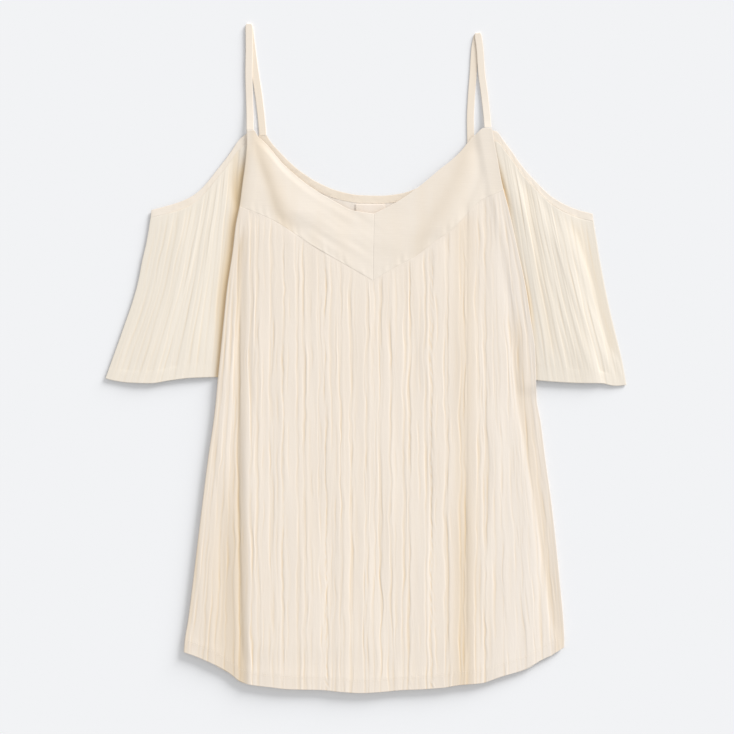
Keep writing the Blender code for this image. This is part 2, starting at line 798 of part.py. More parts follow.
def strap(name, cut):
    """A narrow strap from the front yoke up, folded over at its top, and down to the back."""
    front = [along(cut["front"], k / 9) for k in range(10)]
    back = [along(cut["back"], mix(0.04, 1.0, k / 9)) for k in range(10)]
    fold_inner, fold_outer = cut["front"][-1][2], cut["front"][-1][2] + STRAP_WALL
    stations = []
    for k, (x, y, low) in enumerate(front):
        ahead, behind = front[min(k + 1, 9)], front[max(k - 1, 0)]
        stations.append(((x, y), (ahead[0] - behind[0], ahead[1] - behind[1]), low + STRAP_WALL, low))
    turn = stations[-1]
    run = math.hypot(*turn[1])
    heading = (turn[1][0] / run, turn[1][1] / run)
    rows = [(centre, direction, (0, 0), high, low) for centre, direction, high, low in stations]
    for k in range(1, 5):
        angle = math.pi * (0.5 - k / 5)
        reach = math.cos(angle)
        outer_radius, hollow = fold_outer / 2, (fold_inner - STRAP_WALL) / 2
        rows.append(
            (
                turn[0],
                heading,
                (outer_radius * reach, hollow * reach),
                outer_radius * (1 + math.sin(angle)),
                STRAP_WALL + hollow * (1 + math.sin(angle)),
            )
        )
    for k, (x, y) in enumerate(back):
        ahead, behind = back[min(k + 1, 9)], back[max(k - 1, 0)]
        rows.append(((x, y), (behind[0] - ahead[0], behind[1] - ahead[1]), (0, 0), 0.0, STRAP_WALL))
    outer, inner = [], []
    for (x, y), (dx, dy), (push_outer, push_inner), high, low in rows:
        run = math.hypot(dx, dy)
        side, forward = (dy / run, -dx / run), (dx / run, dy / run)
        for grid, push, z in ((outer, push_outer, high), (inner, push_inner, low)):
            grid.append(
                [
                    (x + side[0] * s * STRAP_WIDTH / 2 + forward[0] * push, y + side[1] * s * STRAP_WIDTH / 2 + forward[1] * push, z)
                    for s in (-1, 0, 1)
                ]
            )
    return sheet(name, outer, inner, [0, 1, 2], YOKE_IVORY, 0.7)


def neck_label():
    """The blank label sewn inside the back neck."""
    width, height = LABEL_SIZE
    left, top = CENTRE_NECK[0] - 4.4 - width / 2, LABEL_TOP
    low = BACK_TOP + LAYER_GAP
    outer, inner = [], []
    for i in range(3):
        y = top - height * i / 2
        xs = [left + width * j / 4 for j in range(5)]
        outer.append([(x, y, low + LABEL_WALL) for x in xs])
        inner.append([(x, y, low) for x in xs])
    return sheet("neck_label", outer, inner, list(range(5)), LABEL_WHITE, 0.6)


def main():
    for old in list(bpy.data.objects):
        bpy.data.objects.remove(old)
    back_panel()
    neck_binding()
    neck_label()
    front_panel()
    yoke(
        "yoke_left",
        NECK_LEFT,
        (SEAM_LEFT[0], (CENTRE_FRONT - SEAM_GAP / 2, 0.0)),
        left_edge,
        (CENTRE_NECK[0] - SEAM_GAP / 2, CENTRE_NECK[1]),
        (CENTRE_FRONT - SEAM_GAP / 2, SEAM_LEFT[-1][1] + 0.1),
    )
    yoke(
        "yoke_right",
        NECK_RIGHT,
        (SEAM_RIGHT[-1], (CENTRE_FRONT + SEAM_GAP / 2, 0.0)),
        right_edge,
        (CENTRE_NECK[0] + SEAM_GAP / 2, CENTRE_NECK[1]),
        (CENTRE_FRONT + SEAM_GAP / 2, SEAM_RIGHT[0][1] + 0.1),
    )
    for side, sleeve_cut, strap_cut in (("left", SLEEVE_LEFT, STRAP_LEFT), ("right", SLEEVE_RIGHT, STRAP_RIGHT)):
        sleeve("sleeve_" + side, sleeve_cut)
        shoulder_band("shoulder_band_" + side, sleeve_cut)
        strap("strap_" + side, strap_cut)


main()
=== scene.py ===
"""Looks of the ivory crinkle blouse, laid flat: thin cloth shells over the CAD part, with its stitching.

Sizes are in millimetres in the tables and functions, and each mesh is written in metres.
"left" and "right" are as seen from above, as in the photo.
"""

import math
from collections import namedtuple

import bpy
import numpy as np
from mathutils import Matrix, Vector


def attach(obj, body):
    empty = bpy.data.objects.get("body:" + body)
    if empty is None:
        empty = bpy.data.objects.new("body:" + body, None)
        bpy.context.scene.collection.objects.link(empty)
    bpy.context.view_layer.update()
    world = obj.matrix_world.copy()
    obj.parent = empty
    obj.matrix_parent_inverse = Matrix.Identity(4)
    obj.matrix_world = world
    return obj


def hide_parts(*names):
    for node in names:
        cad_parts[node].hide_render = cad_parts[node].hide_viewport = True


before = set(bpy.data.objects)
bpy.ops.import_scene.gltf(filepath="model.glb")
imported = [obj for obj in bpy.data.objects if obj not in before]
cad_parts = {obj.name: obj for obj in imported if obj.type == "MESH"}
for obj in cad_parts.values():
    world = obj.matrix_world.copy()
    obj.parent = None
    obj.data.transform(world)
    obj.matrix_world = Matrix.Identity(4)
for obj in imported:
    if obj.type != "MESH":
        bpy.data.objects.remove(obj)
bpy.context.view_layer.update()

MM = 0.001

# Cloth
WALL = 1.2  # outer side of each layer above the inner side that the solids have
SHELL = 0.7  # cloth drawn here, under that outer side
BAND_TOP = 2.3
BINDING_WALL = 1.5
STRAP_WALL = 0.9
LABEL_WALL = 0.6
UNDERCUT = 1.8  # how far the worn front's lower rim is set back on the right
SEAM_GAP = 0.05  # between sewn pieces
LAYER_GAP = 0.3
BACK_TOP = WALL

# Heights of the lying garment
MAIN_LOFT = 5.0
LEFT_STRIP = 1.1  # how much lower the strips beside the deep folds lie
RIGHT_STRIP = 0.3
OVER_SLEEVE_LEFT = 4.4
OVER_SLEEVE_RIGHT = 3.2
SLEEVE_INNER = 1.6
SLEEVE_LOFT = 1.5
SLEEVE_FOLD_LEFT = 2.4
SLEEVE_FOLD_RIGHT = 1.5
TUCK = 13.0  # how far a sleeve goes in under the front

# Widths along the edges
HEM_DEPTH = 17.0
SLEEVE_HEM_DEPTH = 14.0
BAND_WIDTH = 8.5
STRAP_WIDTH = 7.8
LABEL_SIZE = (32.0, 20.0)
LABEL_TOP = 168.6
CENTRE_FRONT = 7.7
CENTRE_NECK = (8.8, 157.9)
ARMHOLE_LEVELS = (246.0, -22.0)
ARMHOLE_LEFT = (-128.4, -149.8)
ARMHOLE_RIGHT = (137.0, 179.0)
SLEEVE_END = -27.0
BACK_INSET = 1.0
BACK_INSET_RIGHT = 2.5
SLEEVE_LENGTH = 190.0
STRAP_ROUNDING = 5.5
LABEL_OFF_CENTRE = 4.4
STITCH_LENGTH = 2.0
STITCH_GAP = 0.9
STITCH_THICK = 0.2
STITCH_ROWS = (2.6, 4.4)  # below the top of the turned hem

# Outline of the worn front, from the straps down: y, left x, right x
FRONT_SIDES = [
    # y, left, right
    (252, -131.2, 138.2), (238, -131, 140.6), (217, -132.4, 144.6), (192, -135.6, 149.2),
    (166, -139, 155.8), (146, -143, 160.4), (118, -146.3, 166.6), (74, -152.9, 176), (41, -156.3, 181),
    (8, -159.6, 185.6), (-26, -163, 186.8), (-47, -164.9, 187.6), (-69, -167.4, 191.6),
    (-113, -173.8, 197.2), (-157, -179.4, 203.4), (-201, -184.7, 208.4), (-245, -190, 212.7),
    (-289, -195.6, 216.8), (-311, -199.2, 217.8), (-324, -200.2, 217.8),
]

# Bottom edge of the body: x, y
HEM = [
    (-200.6, -323.5), (-193, -326), (-171, -335), (-160, -340.5), (-149, -347.2), (-138, -355.6),
    (-127, -359.3), (-105, -362), (-83, -364.3), (-50, -365), (-28, -367.1), (-6, -368.4), (16, -367.3),
    (38, -365.2), (60, -364.3), (82, -362.8), (104, -359.5), (126, -357.8), (148, -350.6), (170, -344.2),
    (181, -339.2), (192, -332.8), (203, -327.4), (214, -320.8), (218.4, -318),
]

# Seam between the yoke and the front panel, in two halves that meet in the point: x, y
SEAM_LEFT = [(-139, 165.8), (-122, 159.2), (-101, 150), (-60.5, 124), (-12, 95.6), (7.7, 84.2)]
SEAM_RIGHT = [
    (7.7, 84.2), (27.5, 96.3), (54, 110.8), (80, 130.2), (95, 141), (111, 157.5), (125, 171.5),
    (151, 183.6),
]

# Neckline of the two yoke halves, from the strap to the V: x, y
NECK_LEFT = [
    (-131.2, 249.5), (-123.4, 249.5), (-118.8, 242.8), (-111, 235.8), (-89, 210.6), (-62.7, 188.6),
    (-37.4, 173), (-14.3, 161.4), (8.6, 157.9),
]
NECK_RIGHT = [
    (138.2, 252), (129.6, 252), (121, 245.4), (114.2, 239), (105.6, 228.2), (94.1, 217), (80, 205.8),
    (67.1, 194.8), (59, 188.2), (43, 176.6), (26.4, 166.6), (9, 157.9),
]

# Back neckline: outer edge of the binding, and the seam under it: x, y
BINDING_EDGE = [
    (-109, 244), (-105, 237.4), (-94, 225), (-83, 213.8), (-72, 204.6), (-50, 190.9), (-28, 182.3),
    (-6, 178.4), (16, 177.8), (38, 180.2), (60, 187.8), (80, 199), (97, 213), (106, 223), (110.6, 233.5),
]
BINDING_SEAM = [
    (-118.2, 244), (-112.4, 234.6), (-100.6, 219.6), (-89, 207.6), (-77, 197.6), (-53.6, 183),
    (-30, 173.8), (-7, 169.9), (16.4, 169.3), (40.4, 172), (63.8, 180), (85, 192), (103, 206.6),
    (115, 220.5), (120.4, 233.5),
]

# Sleeves: cold-shoulder edge and hem from the tucked side to the outer fold (x, y), and that fold (y, x)
SLEEVE_LEFT = {
    "seam": (ARMHOLE_LEFT[0] - 0.4, ARMHOLE_LEFT[1] - 0.4),
    "shoulder": [
        (-128.6, 248), (-139.8, 238.8), (-147.2, 227.8), (-155.1, 216.8), (-163.9, 205.8),
        (-172.5, 194.8), (-182.4, 184), (-193, 176.2), (-204, 171.2), (-216, 167.4), (-235.8, 162),
    ],
    "hem": [
        (-150.2, -21.5), (-171, -21.8), (-193, -22.6), (-215, -25.2), (-237, -28.4), (-259, -27.8),
        (-281, -24.6), (-286, -23),
    ],
    "outer": [
        (162, -235.8), (150, -237.4), (128, -241), (106, -246), (84, -250.2), (62, -256.2), (40, -263.7),
        (18, -271.4), (-4, -279.2), (-23, -286),
    ],
}
SLEEVE_RIGHT = {
    "seam": (ARMHOLE_RIGHT[0] + 0.4, ARMHOLE_RIGHT[1] + 0.4),
    "shoulder": [
        (136.8, 250), (142.8, 248.8), (151, 238.7), (159.2, 227.7), (166.7, 216.7), (175.2, 205.8),
        (185.2, 194.8), (194.8, 185), (203, 177.5), (214, 170.5), (225, 165.2), (236, 161.3),
        (249.2, 158),
    ],
    "hem": [
        (179.6, -24), (197, -26), (214, -27.2), (236, -28.2), (258, -28.4), (274, -31.2), (286, -30.4),
    ],
    "outer": [
        (158, 249.2), (150, 250.2), (128, 253.6), (106, 257.2), (84, 261.4), (62, 265.8), (40, 270.8),
        (18, 276.2), (-4, 281.4), (-30.4, 286),
    ],
}

# Straps, each from the front end over the fold to the back end: x, y, inner height
STRAP_LEFT = {
    "front": [
        (-127.3, 250, 3.3), (-127.4, 262, 2.6), (-128.2, 288, 1.8), (-128.8, 314, 1.8),
        (-128.4, 340, 1.8), (-128.6, 366.4, 1.8),
    ],
    "back": [(-128.6, 366.4), (-125.4, 340), (-122, 314), (-118, 288), (-115, 262), (-113.5, 244.4)],
}
STRAP_RIGHT = {
    "front": [
        (133.9, 252.6, 3.3), (133.2, 262, 2.6), (130.4, 288, 1.8), (127, 314, 1.8), (125.2, 340, 1.8),
        (122.8, 356.2, 1.8),
    ],
    "back": [(122.8, 356.2), (119.7, 340), (118, 314), (116, 288), (114.8, 262), (115.2, 234)],
}

# Deep folds, as soft troughs (depth above 0) or ridges (below 0) along a path: widths of the left and right
# flanks, then the path as y, x
Fold = namedtuple("Fold", "depth left right path")
BESIDE_LEFT = [(150, -134), (100, -138.6), (-100, -139.8), (-330, -136)]
NECK_TO_ARM = [(240, 122.5), (228, 122.3), (204, 124.3), (182, 116.3), (164.5, 109), (150, 104)]
DEEP_FOLDS = [
    Fold(0.35, 3.2, 1.3, BESIDE_LEFT),
    Fold(0.40, 5, 1.3, [(168, 111.5), (150, 111), (100, 110.6), (-330, 110)]),
    Fold(0.50, 8, 5, NECK_TO_ARM),
    Fold(0.60, 5, 12, [(90, 158), (-20, 165), (-120, 181), (-310, 209)]),
]

# Soft steps up towards the right: steepest slope, widths of its start and end, and how far it is to level
Step = namedtuple("Step", "slope left right level path")
LEFT_DIP = [(250, -120.5), (228, -118.8), (210, -112.8), (188, -104.5), (166, -98), (146, -90)]
RIGHT_DIP = [(228, 110), (204, 100.5), (182, 91), (164.5, 81.4), (130, 62)]
SOFT_STEPS = [
    Step(0.115, 5, 8, 60, LEFT_DIP),
    Step(0.055, 1, 7, 200, BESIDE_LEFT),
    Step(0.050, 8, 8, 26, RIGHT_DIP),
]

# Creases of the front that run straight down: x at the bust, waist and hem, and how strongly the cloth there
# faces the light (above 0) or turns from it (below 0)
CREASE_LEVELS = (63, -124, -311)
CREASE_SLOPE = 0.34
FAN_SLOPE_LEFT = 0.36
FAN_SLOPE_RIGHT = 0.28
SLEEVE_SLOPE_LEFT = 0.46
SLEEVE_SLOPE_RIGHT = 0.36
FINE_CREASES = 120
FINE_SLEEVE_CREASES = 26
CREASES = [
    # bust, waist, hem, strength
    (-138.6, -139.8, -137, -1.5), (-128.2, -128.2, -126, 1.4), (-123.8, -124.8, -123.2, -0.7),
    (-121, -121.6, -119.9, 0.7), (-117.2, -118.2, -116, -1), (-105.6, -106.2, -104.5, 0.8),
    (-101.8, -101.8, -99, -0.8), (-92.4, -93, -93.5, 0.7), (-89.6, -90.2, -90.2, -1),
    (-78.1, -76.4, -75.9, 0.8), (-73.7, -73.2, -72, -0.8), (-69.8, -69.3, -68.8, 0.7),
    (-67.1, -65.4, -64.4, -1.4), (-52.8, -52.2, -50, 0.8), (-44, -43.4, -42.4, -1.1),
    (-39.6, -38.5, -38, 0.6), (-31.9, -28.6, -28.6, 0.8), (-25.8, -25.3, -23.6, -0.9),
    (-19.2, -18.2, -19.2, 0.8), (-15.4, -14.8, -13.8, -1.3), (-1.1, -1.6, -2.8, 1),
    (2.8, 2.8, 3.3, -1.3), (13.8, 13.8, 14.8, 1), (17.6, 17.6, 17, -0.9), (24.2, 25.3, 24.2, 0.9),
    (28, 28, 30.2, -1.3), (41.2, 39.6, 39, 0.9), (44, 42.4, 42.4, -0.8), (46.2, 45.1, 44.6, 0.8),
    (49, 49, 47.8, -1.3), (63.2, 63.8, 64.9, 0.9), (66, 66.6, 67.1, -0.8), (68.8, 68.8, 69.3, 0.7),
    (73.7, 72.6, 72.6, -1.1), (86.4, 85.2, 85.8, 1), (90.8, 90.2, 90.8, -1.4), (102.3, 102.3, 102.3, 1),
    (108.9, 110, 107.8, -1.5), (119.4, 121.6, 118.8, 1.3), (124.3, 125.4, 125.4, -0.9),
    (128.2, 129.2, 128.7, 0.8), (132, 133.6, 131.4, -1.3), (138.6, 139.7, 139.7, 0.8),
]

# Creases that lean towards the side seams: share of the way to the edge, strength
FAN_LEFT = [(0.88, 0.9), (0.74, -0.9), (0.60, 1), (0.44, -1), (0.30, 1), (0.13, -1)]
FAN_RIGHT = [
    (0.16, -1.1), (0.32, 0.8), (0.45, -0.8), (0.58, 0.8), (0.70, -1.1), (0.80, 0.8), (0.88, -1.1),
    (0.95, 0.7),
]

# Twisted creases with short slanting wrinkles across them: x, strength
TWISTED = [(-89.8, 0.7), (-43.6, 1), (72.8, 1), (49, 0.5)]

# Creases down each sleeve: share of the width at the shoulder and at the hem, strength
SLEEVE_CREASES_LEFT = [
    (0.22, 0.12, -1), (0.28, 0.17, 0.9), (0.33, 0.25, -0.8), (0.37, 0.30, 0.9), (0.43, 0.35, -0.9),
    (0.47, 0.41, 0.9), (0.53, 0.47, -0.8), (0.57, 0.52, 0.9), (0.63, 0.58, -1), (0.67, 0.62, 0.9),
    (0.73, 0.69, -0.9), (0.77, 0.73, 0.9), (0.83, 0.80, -1), (0.87, 0.85, 0.9), (0.93, 0.92, -0.7),
]
SLEEVE_CREASES_RIGHT = [
    (0.16, 0.10, 0.9), (0.24, 0.17, -1.3), (0.31, 0.25, 1), (0.38, 0.33, -0.8), (0.43, 0.38, 0.9),
    (0.50, 0.46, -1.2), (0.55, 0.51, 1), (0.61, 0.57, -0.8), (0.66, 0.62, 0.9), (0.72, 0.68, -0.9),
    (0.77, 0.73, 1.2), (0.84, 0.79, -1.4), (0.90, 0.86, 0.8), (0.95, 0.93, -0.6),
]

# Folds of the sleeves where they go under the front, as in DEEP_FOLDS
SLEEVE_FOLDS_LEFT = [Fold(0.9, 7, 2.6, [(236, -140.5), (214, -142.5), (192, -144.4), (165, -142.5)])]
SLEEVE_FOLDS_RIGHT = [
    Fold(0.35, 4, 7, [(196, 176), (129, 185), (60, 195), (1, 205)]),
    Fold(0.5, 5, 9, [(152, 228), (111, 243), (30, 266), (0, 272)]),
]

# Where the cloth turns over at a sleeve's outer side, from below: shares of the turn's width and height
FOLD_TURN = [
    (0.16, 0.03), (0.32, 0.13), (0.45, 0.26), (0.57, 0.40), (0.68, 0.54), (0.79, 0.68), (0.90, 0.82),
    (0.975, 0.93), (1, 0.975), (0.92, 1),
]

# Colours
IVORY = (0.880, 0.803, 0.722)
IVORY_DEEP = (0.868, 0.785, 0.696)
SLEEVE_IVORY = (0.876, 0.804, 0.702)
SLEEVE_DEEP = (0.864, 0.788, 0.680)
YOKE = (0.883, 0.798, 0.698)
YOKE_DEEP = (0.872, 0.775, 0.660)
TAPE = (0.90, 0.80, 0.70)
TAPE_DEEP = (0.88, 0.77, 0.66)
THREAD = (0.88, 0.79, 0.67)
PAINTED_CREASE_SHADE = (0.830, 0.608, 0.335)  # painted warm shade, deep in the creases and hollows
FLOOR = (0.880, 0.888, 0.905)

# Light and camera
WORLD_LIGHT = 0.632
KEY_ENERGY = 4.05
KEY_SPREAD = 26.0
KEY_BEARING = 50.0  # from +X towards +Y, in degrees
KEY_RISE = 17.0
LENS = 100.0
SENSOR = 36.0
VIEW_CENTRE = (1.1, -10.45)
VIEW_WIDTH = 807.4  # what the photo shows from side to side


def smooth_line(table):
    """A table of (place, value) rows as a smooth function of arrays, without overshoot."""
    places, values = map(np.array, zip(*sorted(table)))
    steps = np.diff(places)
    slopes = np.diff(values) / steps
    product = slopes[:-1] * slopes[1:]
    total = np.where(product > 0, slopes[:-1] + slopes[1:], 1.0)
    tangents = np.concatenate([slopes[:1], np.where(product > 0, 2 * product / total, 0.0), slopes[-1:]])
    dense = np.linspace(places[0], places[-1], 1500)
    k = np.clip(np.searchsorted(places, dense, side="right") - 1, 0, len(steps) - 1)
    t = (dense - places[k]) / steps[k]
    drawn = (2 * t**3 - 3 * t**2 + 1) * values[k] + (3 * t**2 - 2 * t**3) * values[k + 1]
    drawn += steps[k] * ((t**3 - 2 * t**2 + t) * tangents[k] + (t**3 - t**2) * tangents[k + 1])
    return lambda at: np.interp(at, dense, drawn)


def path_line(points):
    """A smooth path through points, as a function of the share of its length: one array for each axis."""
    rows = np.array(points, float)
    lengths = np.concatenate([[0.0], np.cumsum(np.hypot(*np.diff(rows[:, :2], axis=0).T))])
    axes = [smooth_line(list(zip(lengths / lengths[-1], rows[:, axis]))) for axis in range(rows.shape[1])]
    return lambda t: [axis(t) for axis in axes]


def ease(t):
    t = np.clip(t, 0.0, 1.0)
    return t * t * (3 - 2 * t)


def mix(a, b, t):
    return a + (b - a) * t


def bell(t):
    return np.exp(-t * t)


def noise(x, y, seed):
    """Smooth noise from -1 to 1 over the plane, about one bump a unit."""
    lattice = np.random.default_rng(seed).uniform(-1, 1, (128, 128))
    x, y = np.broadcast_arrays(np.asarray(x, float), np.asarray(y, float))
    left, low = np.floor(x).astype(int), np.floor(y).astype(int)
    across, up = ease(x - left), ease(y - low)
    at = lambda i, j: lattice[(left + i) % 128, (low + j) % 128]
    return mix(mix(at(0, 0), at(1, 0), across), mix(at(0, 1), at(1, 1), across), up)


left_edge = smooth_line([(y, left) for y, left, _ in FRONT_SIDES])
right_edge = smooth_line([(y, right) for y, _, right in FRONT_SIDES])
hem_line = smooth_line(HEM)
seam_left = smooth_line(SEAM_LEFT)
seam_right = smooth_line(SEAM_RIGHT)
neck_left = smooth_line(NECK_LEFT[1:])
neck_right = smooth_line(NECK_RIGHT[1:])
fold_paths = [smooth_line(fold.path) for fold in DEEP_FOLDS]
step_paths = [smooth_line(step.path) for step in SOFT_STEPS]
crease_lines = [smooth_line(list(zip(CREASE_LEVELS, row[:3]))) for row in CREASES]


def seam_height(x):
    return np.where(x <= CENTRE_FRONT, seam_left(x), seam_right(x))


def neck_height(x):
    return np.where(x < CENTRE_NECK[0], neck_left(x), neck_right(x))


def from_sides(x, y):
    """How far a place lies in from the left and the right side of the worn front."""
    return x - left_edge(y), right_edge(y) - x


def side_fold(y):
    return np.maximum(fold_paths[0](y), left_edge(y) + 5)


def along(path, y, beyond):
    """1 beside a path (y, x), easing to 0 from a little beyond its ends."""
    return ease((path[0][0] + beyond - y) / 24) * ease((y - path[-1][0] + beyond) / 24)


def fold_depth(folds, x, y):
    """How far a list of folds lowers the cloth at a place."""
    depth = 0 * (x + y)
    for fold in folds:
        across = x - smooth_line(fold.path)(y)
        width = np.where(across < 0, fold.left, fold.right)
        depth = depth + fold.depth * along(fold.path, y, 6) * bell(across / width)
    return depth


def step_height(x, y):
    """How far the soft steps raise the front at a place."""
    height = 0.0
    for step, path in zip(SOFT_STEPS, step_paths):
        across = x - path(y)
        start = step.left * (1 + np.tanh(1.2 * np.minimum(across, 0) / step.left))
        end = step.right * np.tanh(1.2 * np.maximum(across, 0) / step.right)
        level = bell(np.maximum(across, 0) / step.level)
        height = height + 0.886 * step.slope * along(step.path, y, 8) * (start + end) * level
    return height


def front_inner(x, y):
    """Height of the inner side of the worn front, yoke and panel alike."""
    from_left, from_right = from_sides(x, y)
    side = np.minimum(from_left, from_right)
    neck = np.maximum(0.0, neck_height(x) - y) * 0.75
    hem = np.maximum(0.0, y - hem_line(x))
    below_sleeve, settling = np.where(x < 0, 90, 18), np.where(x < 0, 110, 14)
    over_sleeve = (1 - ease((side - TUCK) / 14)) * ease((y - SLEEVE_END + below_sleeve) / settling)
    near_neck = 1 - ease((neck - 6) / 14)
    over_label = 1.25 * bell((x - CENTRE_NECK[0]) / 30)
    rest = BACK_TOP + LAYER_GAP
    sleeve_top = np.where(x < 0, OVER_SLEEVE_LEFT, OVER_SLEEVE_RIGHT)
    sleeve_top = mix(sleeve_top, 3.3, near_neck)
    over_binding = (BINDING_WALL - WALL + 0.1 + over_label) * near_neck
    lowest = rest + np.maximum((sleeve_top - rest) * over_sleeve, over_binding)
    from_fold = fold_paths[0](y) - x
    left_strip = ease((from_fold + 9) / 10) * mix(1.0, 0.7, ease(from_fold / 40)) * ease((140 - y) / 40)
    right_strip = ease((x - fold_paths[1](y) + 2) / 5) * ease((170 - y) / 30)
    loft = MAIN_LOFT - LEFT_STRIP * left_strip - RIGHT_STRIP * right_strip - rest
    by_side = (0.92 + 0.08 * ease(from_left / 14)) * (0.18 + 0.82 * np.tanh(from_right / 75))
    by_end = (0.74 + 0.26 * ease((neck + 3) / 36)) * (0.94 + 0.06 * ease(hem / 16))
    held = ease(side / 8) * (0.4 + 0.6 * ease(neck / 8))
    lofty = rest + loft * by_side * by_end + (step_height(x, y) - fold_depth(DEEP_FOLDS, x, y)) * held
    return 0.5 * (lowest + lofty + np.sqrt((lowest - lofty) ** 2 + 0.6)) - 0.1


def crease(across, width, recovery, strength):
    """Cloth that slopes towards the light (strength above 0) along a line, and comes back beside it."""
    return -0.5 * strength * (np.tanh(across / width) - np.tanh(across / recovery))


def fade(y, k, length, least):
    """How strongly crease k shows at y: it comes and goes along its length."""
    return least + (1 - least) * (0.5 + 0.5 * noise(y / length, 3.7 * k + 0.5, 11))


def sway(y, k, seed):
    """Sideways wave of crease k at y."""
    return 0.7 * noise(y / 30, 5.3 * k + 0.2, seed) + 0.2 * noise(y / 13, 7.1 * k + 0.4, seed + 1)


def drift(x, y, seed):
    """Sideways wave of the whole cloth, so that neighbouring creases bend together."""
    return 1.25 * noise(x / 8.5, y / 34, seed) + 0.65 * noise(x / 7, y / 12.5, seed + 1)


def strand(x, y, line, k, strength, seed, width=0.72, recovery=3.1):
    """One crease with its wave, and a thin twin that parts from it and comes back, as in twisted thread."""
    across = x - line - sway(y, k, seed)
    shown = 0.25 + 0.85 * np.clip(0.5 + 0.8 * noise(y / 27, 3.7 * k + 0.5, seed + 3), 0, 1)
    apart = 2.4 * np.clip(noise(y / 15, 6.1 * k + 0.7, seed + 2) - 0.1, 0, 1)
    height = crease(across, width, recovery, strength * shown)
    return height + crease(across - apart + 0.5, 0.5, 1.3, 0.5 * strength * ease(apart / 0.8))


def front_relief(x, y):
    """Crinkle of the front panel, in millimetres above the plain cloth."""
    height = 0.10 * noise(x / 5.5, y / 60, 3) + 0.34 * noise(x / 13, y / 120, 4)
    for k, (row, line) in enumerate(zip(CREASES, crease_lines)):
        height = height + strand(x, y, line(y), k, CREASE_SLOPE * row[3], 20)
    fold, edge = side_fold(y), left_edge(y)
    for k, (share, strength) in enumerate(FAN_LEFT):
        steep = FAN_SLOPE_LEFT * ease((fold - edge) / 22)
        height = height + strand(x, y, mix(fold, edge, share), k + 60, steep * strength, 20)
    last, edge = crease_lines[-1](y), right_edge(y)
    for k, (share, strength) in enumerate(FAN_RIGHT):
        steep = FAN_SLOPE_RIGHT * strength * (1 - 0.35 * ease((y - 20) / 60))
        height = height + strand(x, y, mix(last, edge, share), k + 80, steep, 20)
    for k, (place, strength) in enumerate(TWISTED):
        across = x - place - sway(y, k + 95, 20) - 1.2 * noise(y / 4.5, 9.0 * k, 8)
        slant = np.sin((y + 2.2 * across) / 1.9 + 3 * noise(y / 11, 2.0 * k, 9))
        height = height + 0.13 * strength * slant * bell(across / 2.2) * fade(y, k + 95, 40, 0.1)
    rng = np.random.default_rng(5)
    for k in range(FINE_CREASES):
        place = rng.uniform(-205, 222)
        lean = np.sign(place) * max(0.0, abs(place) - 110) * 0.0011
        strength = rng.choice([-1, 1]) * rng.uniform(0.12, 0.32)
        shown = np.clip(noise(y / 28, 2.9 * k, 13) * 2.2, 0, 1)
        across = x - place + lean * (y + 120) - 1.2 * sway(y, k + 200, 24)
        height = height + crease(across, rng.uniform(0.55, 0.9), 2.0, strength * shown)
    return height


def cloth_object(name, node, verts, faces, cloth, tint_and_painted_shade=None):
    """A mesh piece that stands for a node, or for none.

    The last argument holds two amounts from 0 to 1 for each point, painted into its colour: the warm shade
    of the hollow attribute, painted in creases and hollows (and a plain warmer tint on the binding), and the
    painted darkening of the shade attribute.
    """
    mesh = bpy.data.meshes.new(name)
    mesh.from_pydata((np.asarray(verts) * MM).tolist(), [], faces)
    mesh.update()
    if tint_and_painted_shade is not None:
        for kind, values in zip(("hollow", "shade"), tint_and_painted_shade.T):
            layer = mesh.attributes.new(kind, "FLOAT", "POINT")
            layer.data.foreach_set("value", np.clip(values, 0, 1).astype(np.float32))
    mesh.shade_smooth()
    mesh.set_sharp_from_angle(angle=math.radians(62))
    material, slot = cloth
    mesh.materials.append(material)
    piece = bpy.data.objects.new(name, mesh)
    bpy.context.scene.collection.objects.link(piece)
    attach(piece, "root")
    if node:
        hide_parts(node)
    return piece


def thin_out(count, step):
    """Every step-th index from 0 to the last one."""
    return sorted({*range(0, count, step), count - 1})


def shell(name, node, outer, inner, steps, cloth, tint_and_painted_shade=None, under_shade=0.35):
    """A closed cloth shell. outer and inner are arrays of points by row and column.

    The inner side is drawn with every steps[0]-th row and steps[1]-th column only.
    """
    rows, columns = outer.shape[:2]
    kept_rows, kept_columns = thin_out(rows, steps[0]), thin_out(columns, steps[1])
    under = inner[np.ix_(kept_rows, kept_columns)]
    verts = np.concatenate([outer.reshape(-1, 3), under.reshape(-1, 3)])
    top = np.arange(rows * columns).reshape(rows, columns)
    low = rows * columns + np.arange(under.shape[0] * under.shape[1]).reshape(under.shape[:2])
    faces = np.stack([top[:-1, :-1], top[1:, :-1], top[1:, 1:], top[:-1, 1:]], -1).reshape(-1, 4).tolist()
    faces += np.stack([low[:-1, :-1], low[:-1, 1:], low[1:, 1:], low[1:, :-1]], -1).reshape(-1, 4).tolist()
    rims = [
        (top[0], low[0], kept_columns, False),
        (top[-1], low[-1], kept_columns, True),
        (top[:, 0], low[:, 0], kept_rows, True),
        (top[:, -1], low[:, -1], kept_rows, False),
    ]
    for fine, coarse, kept, turned in rims:
        for k, (start, end) in enumerate(zip(kept, kept[1:])):
            middle = (start + end) // 2
            fan = [(fine[j], fine[j + 1], coarse[k if j < middle else k + 1]) for j in range(start, end)]
            fan.append((fine[middle], coarse[k + 1], coarse[k]))
            faces += [tuple(int(v) for v in (f[::-1] if turned else f)) for f in fan]
    if tint_and_painted_shade is not None:
        # Painted shade on the inner side and the rims: a little warm shade and under_shade of darkening.
        hidden = np.full((len(verts) - rows * columns, 2), (0.1, under_shade))
        tint_and_painted_shade = np.concatenate([tint_and_painted_shade.reshape(-1, 2), hidden])
    return cloth_object(name, node, verts, faces, cloth, tint_and_painted_shade)


def closer(count, extra):
    """count even shares from 0 to 1, with extra ones where the cloth turns sharply."""
    return np.unique(np.concatenate([np.linspace(0, 1, count), extra]))


def rounded(distance, radius):
    """How far a cloth edge rounds off at a distance from its rim."""
    inside = np.clip(distance / radius, 0, 1)
    return radius * (1 - np.sqrt(1 - (1 - inside) ** 2))


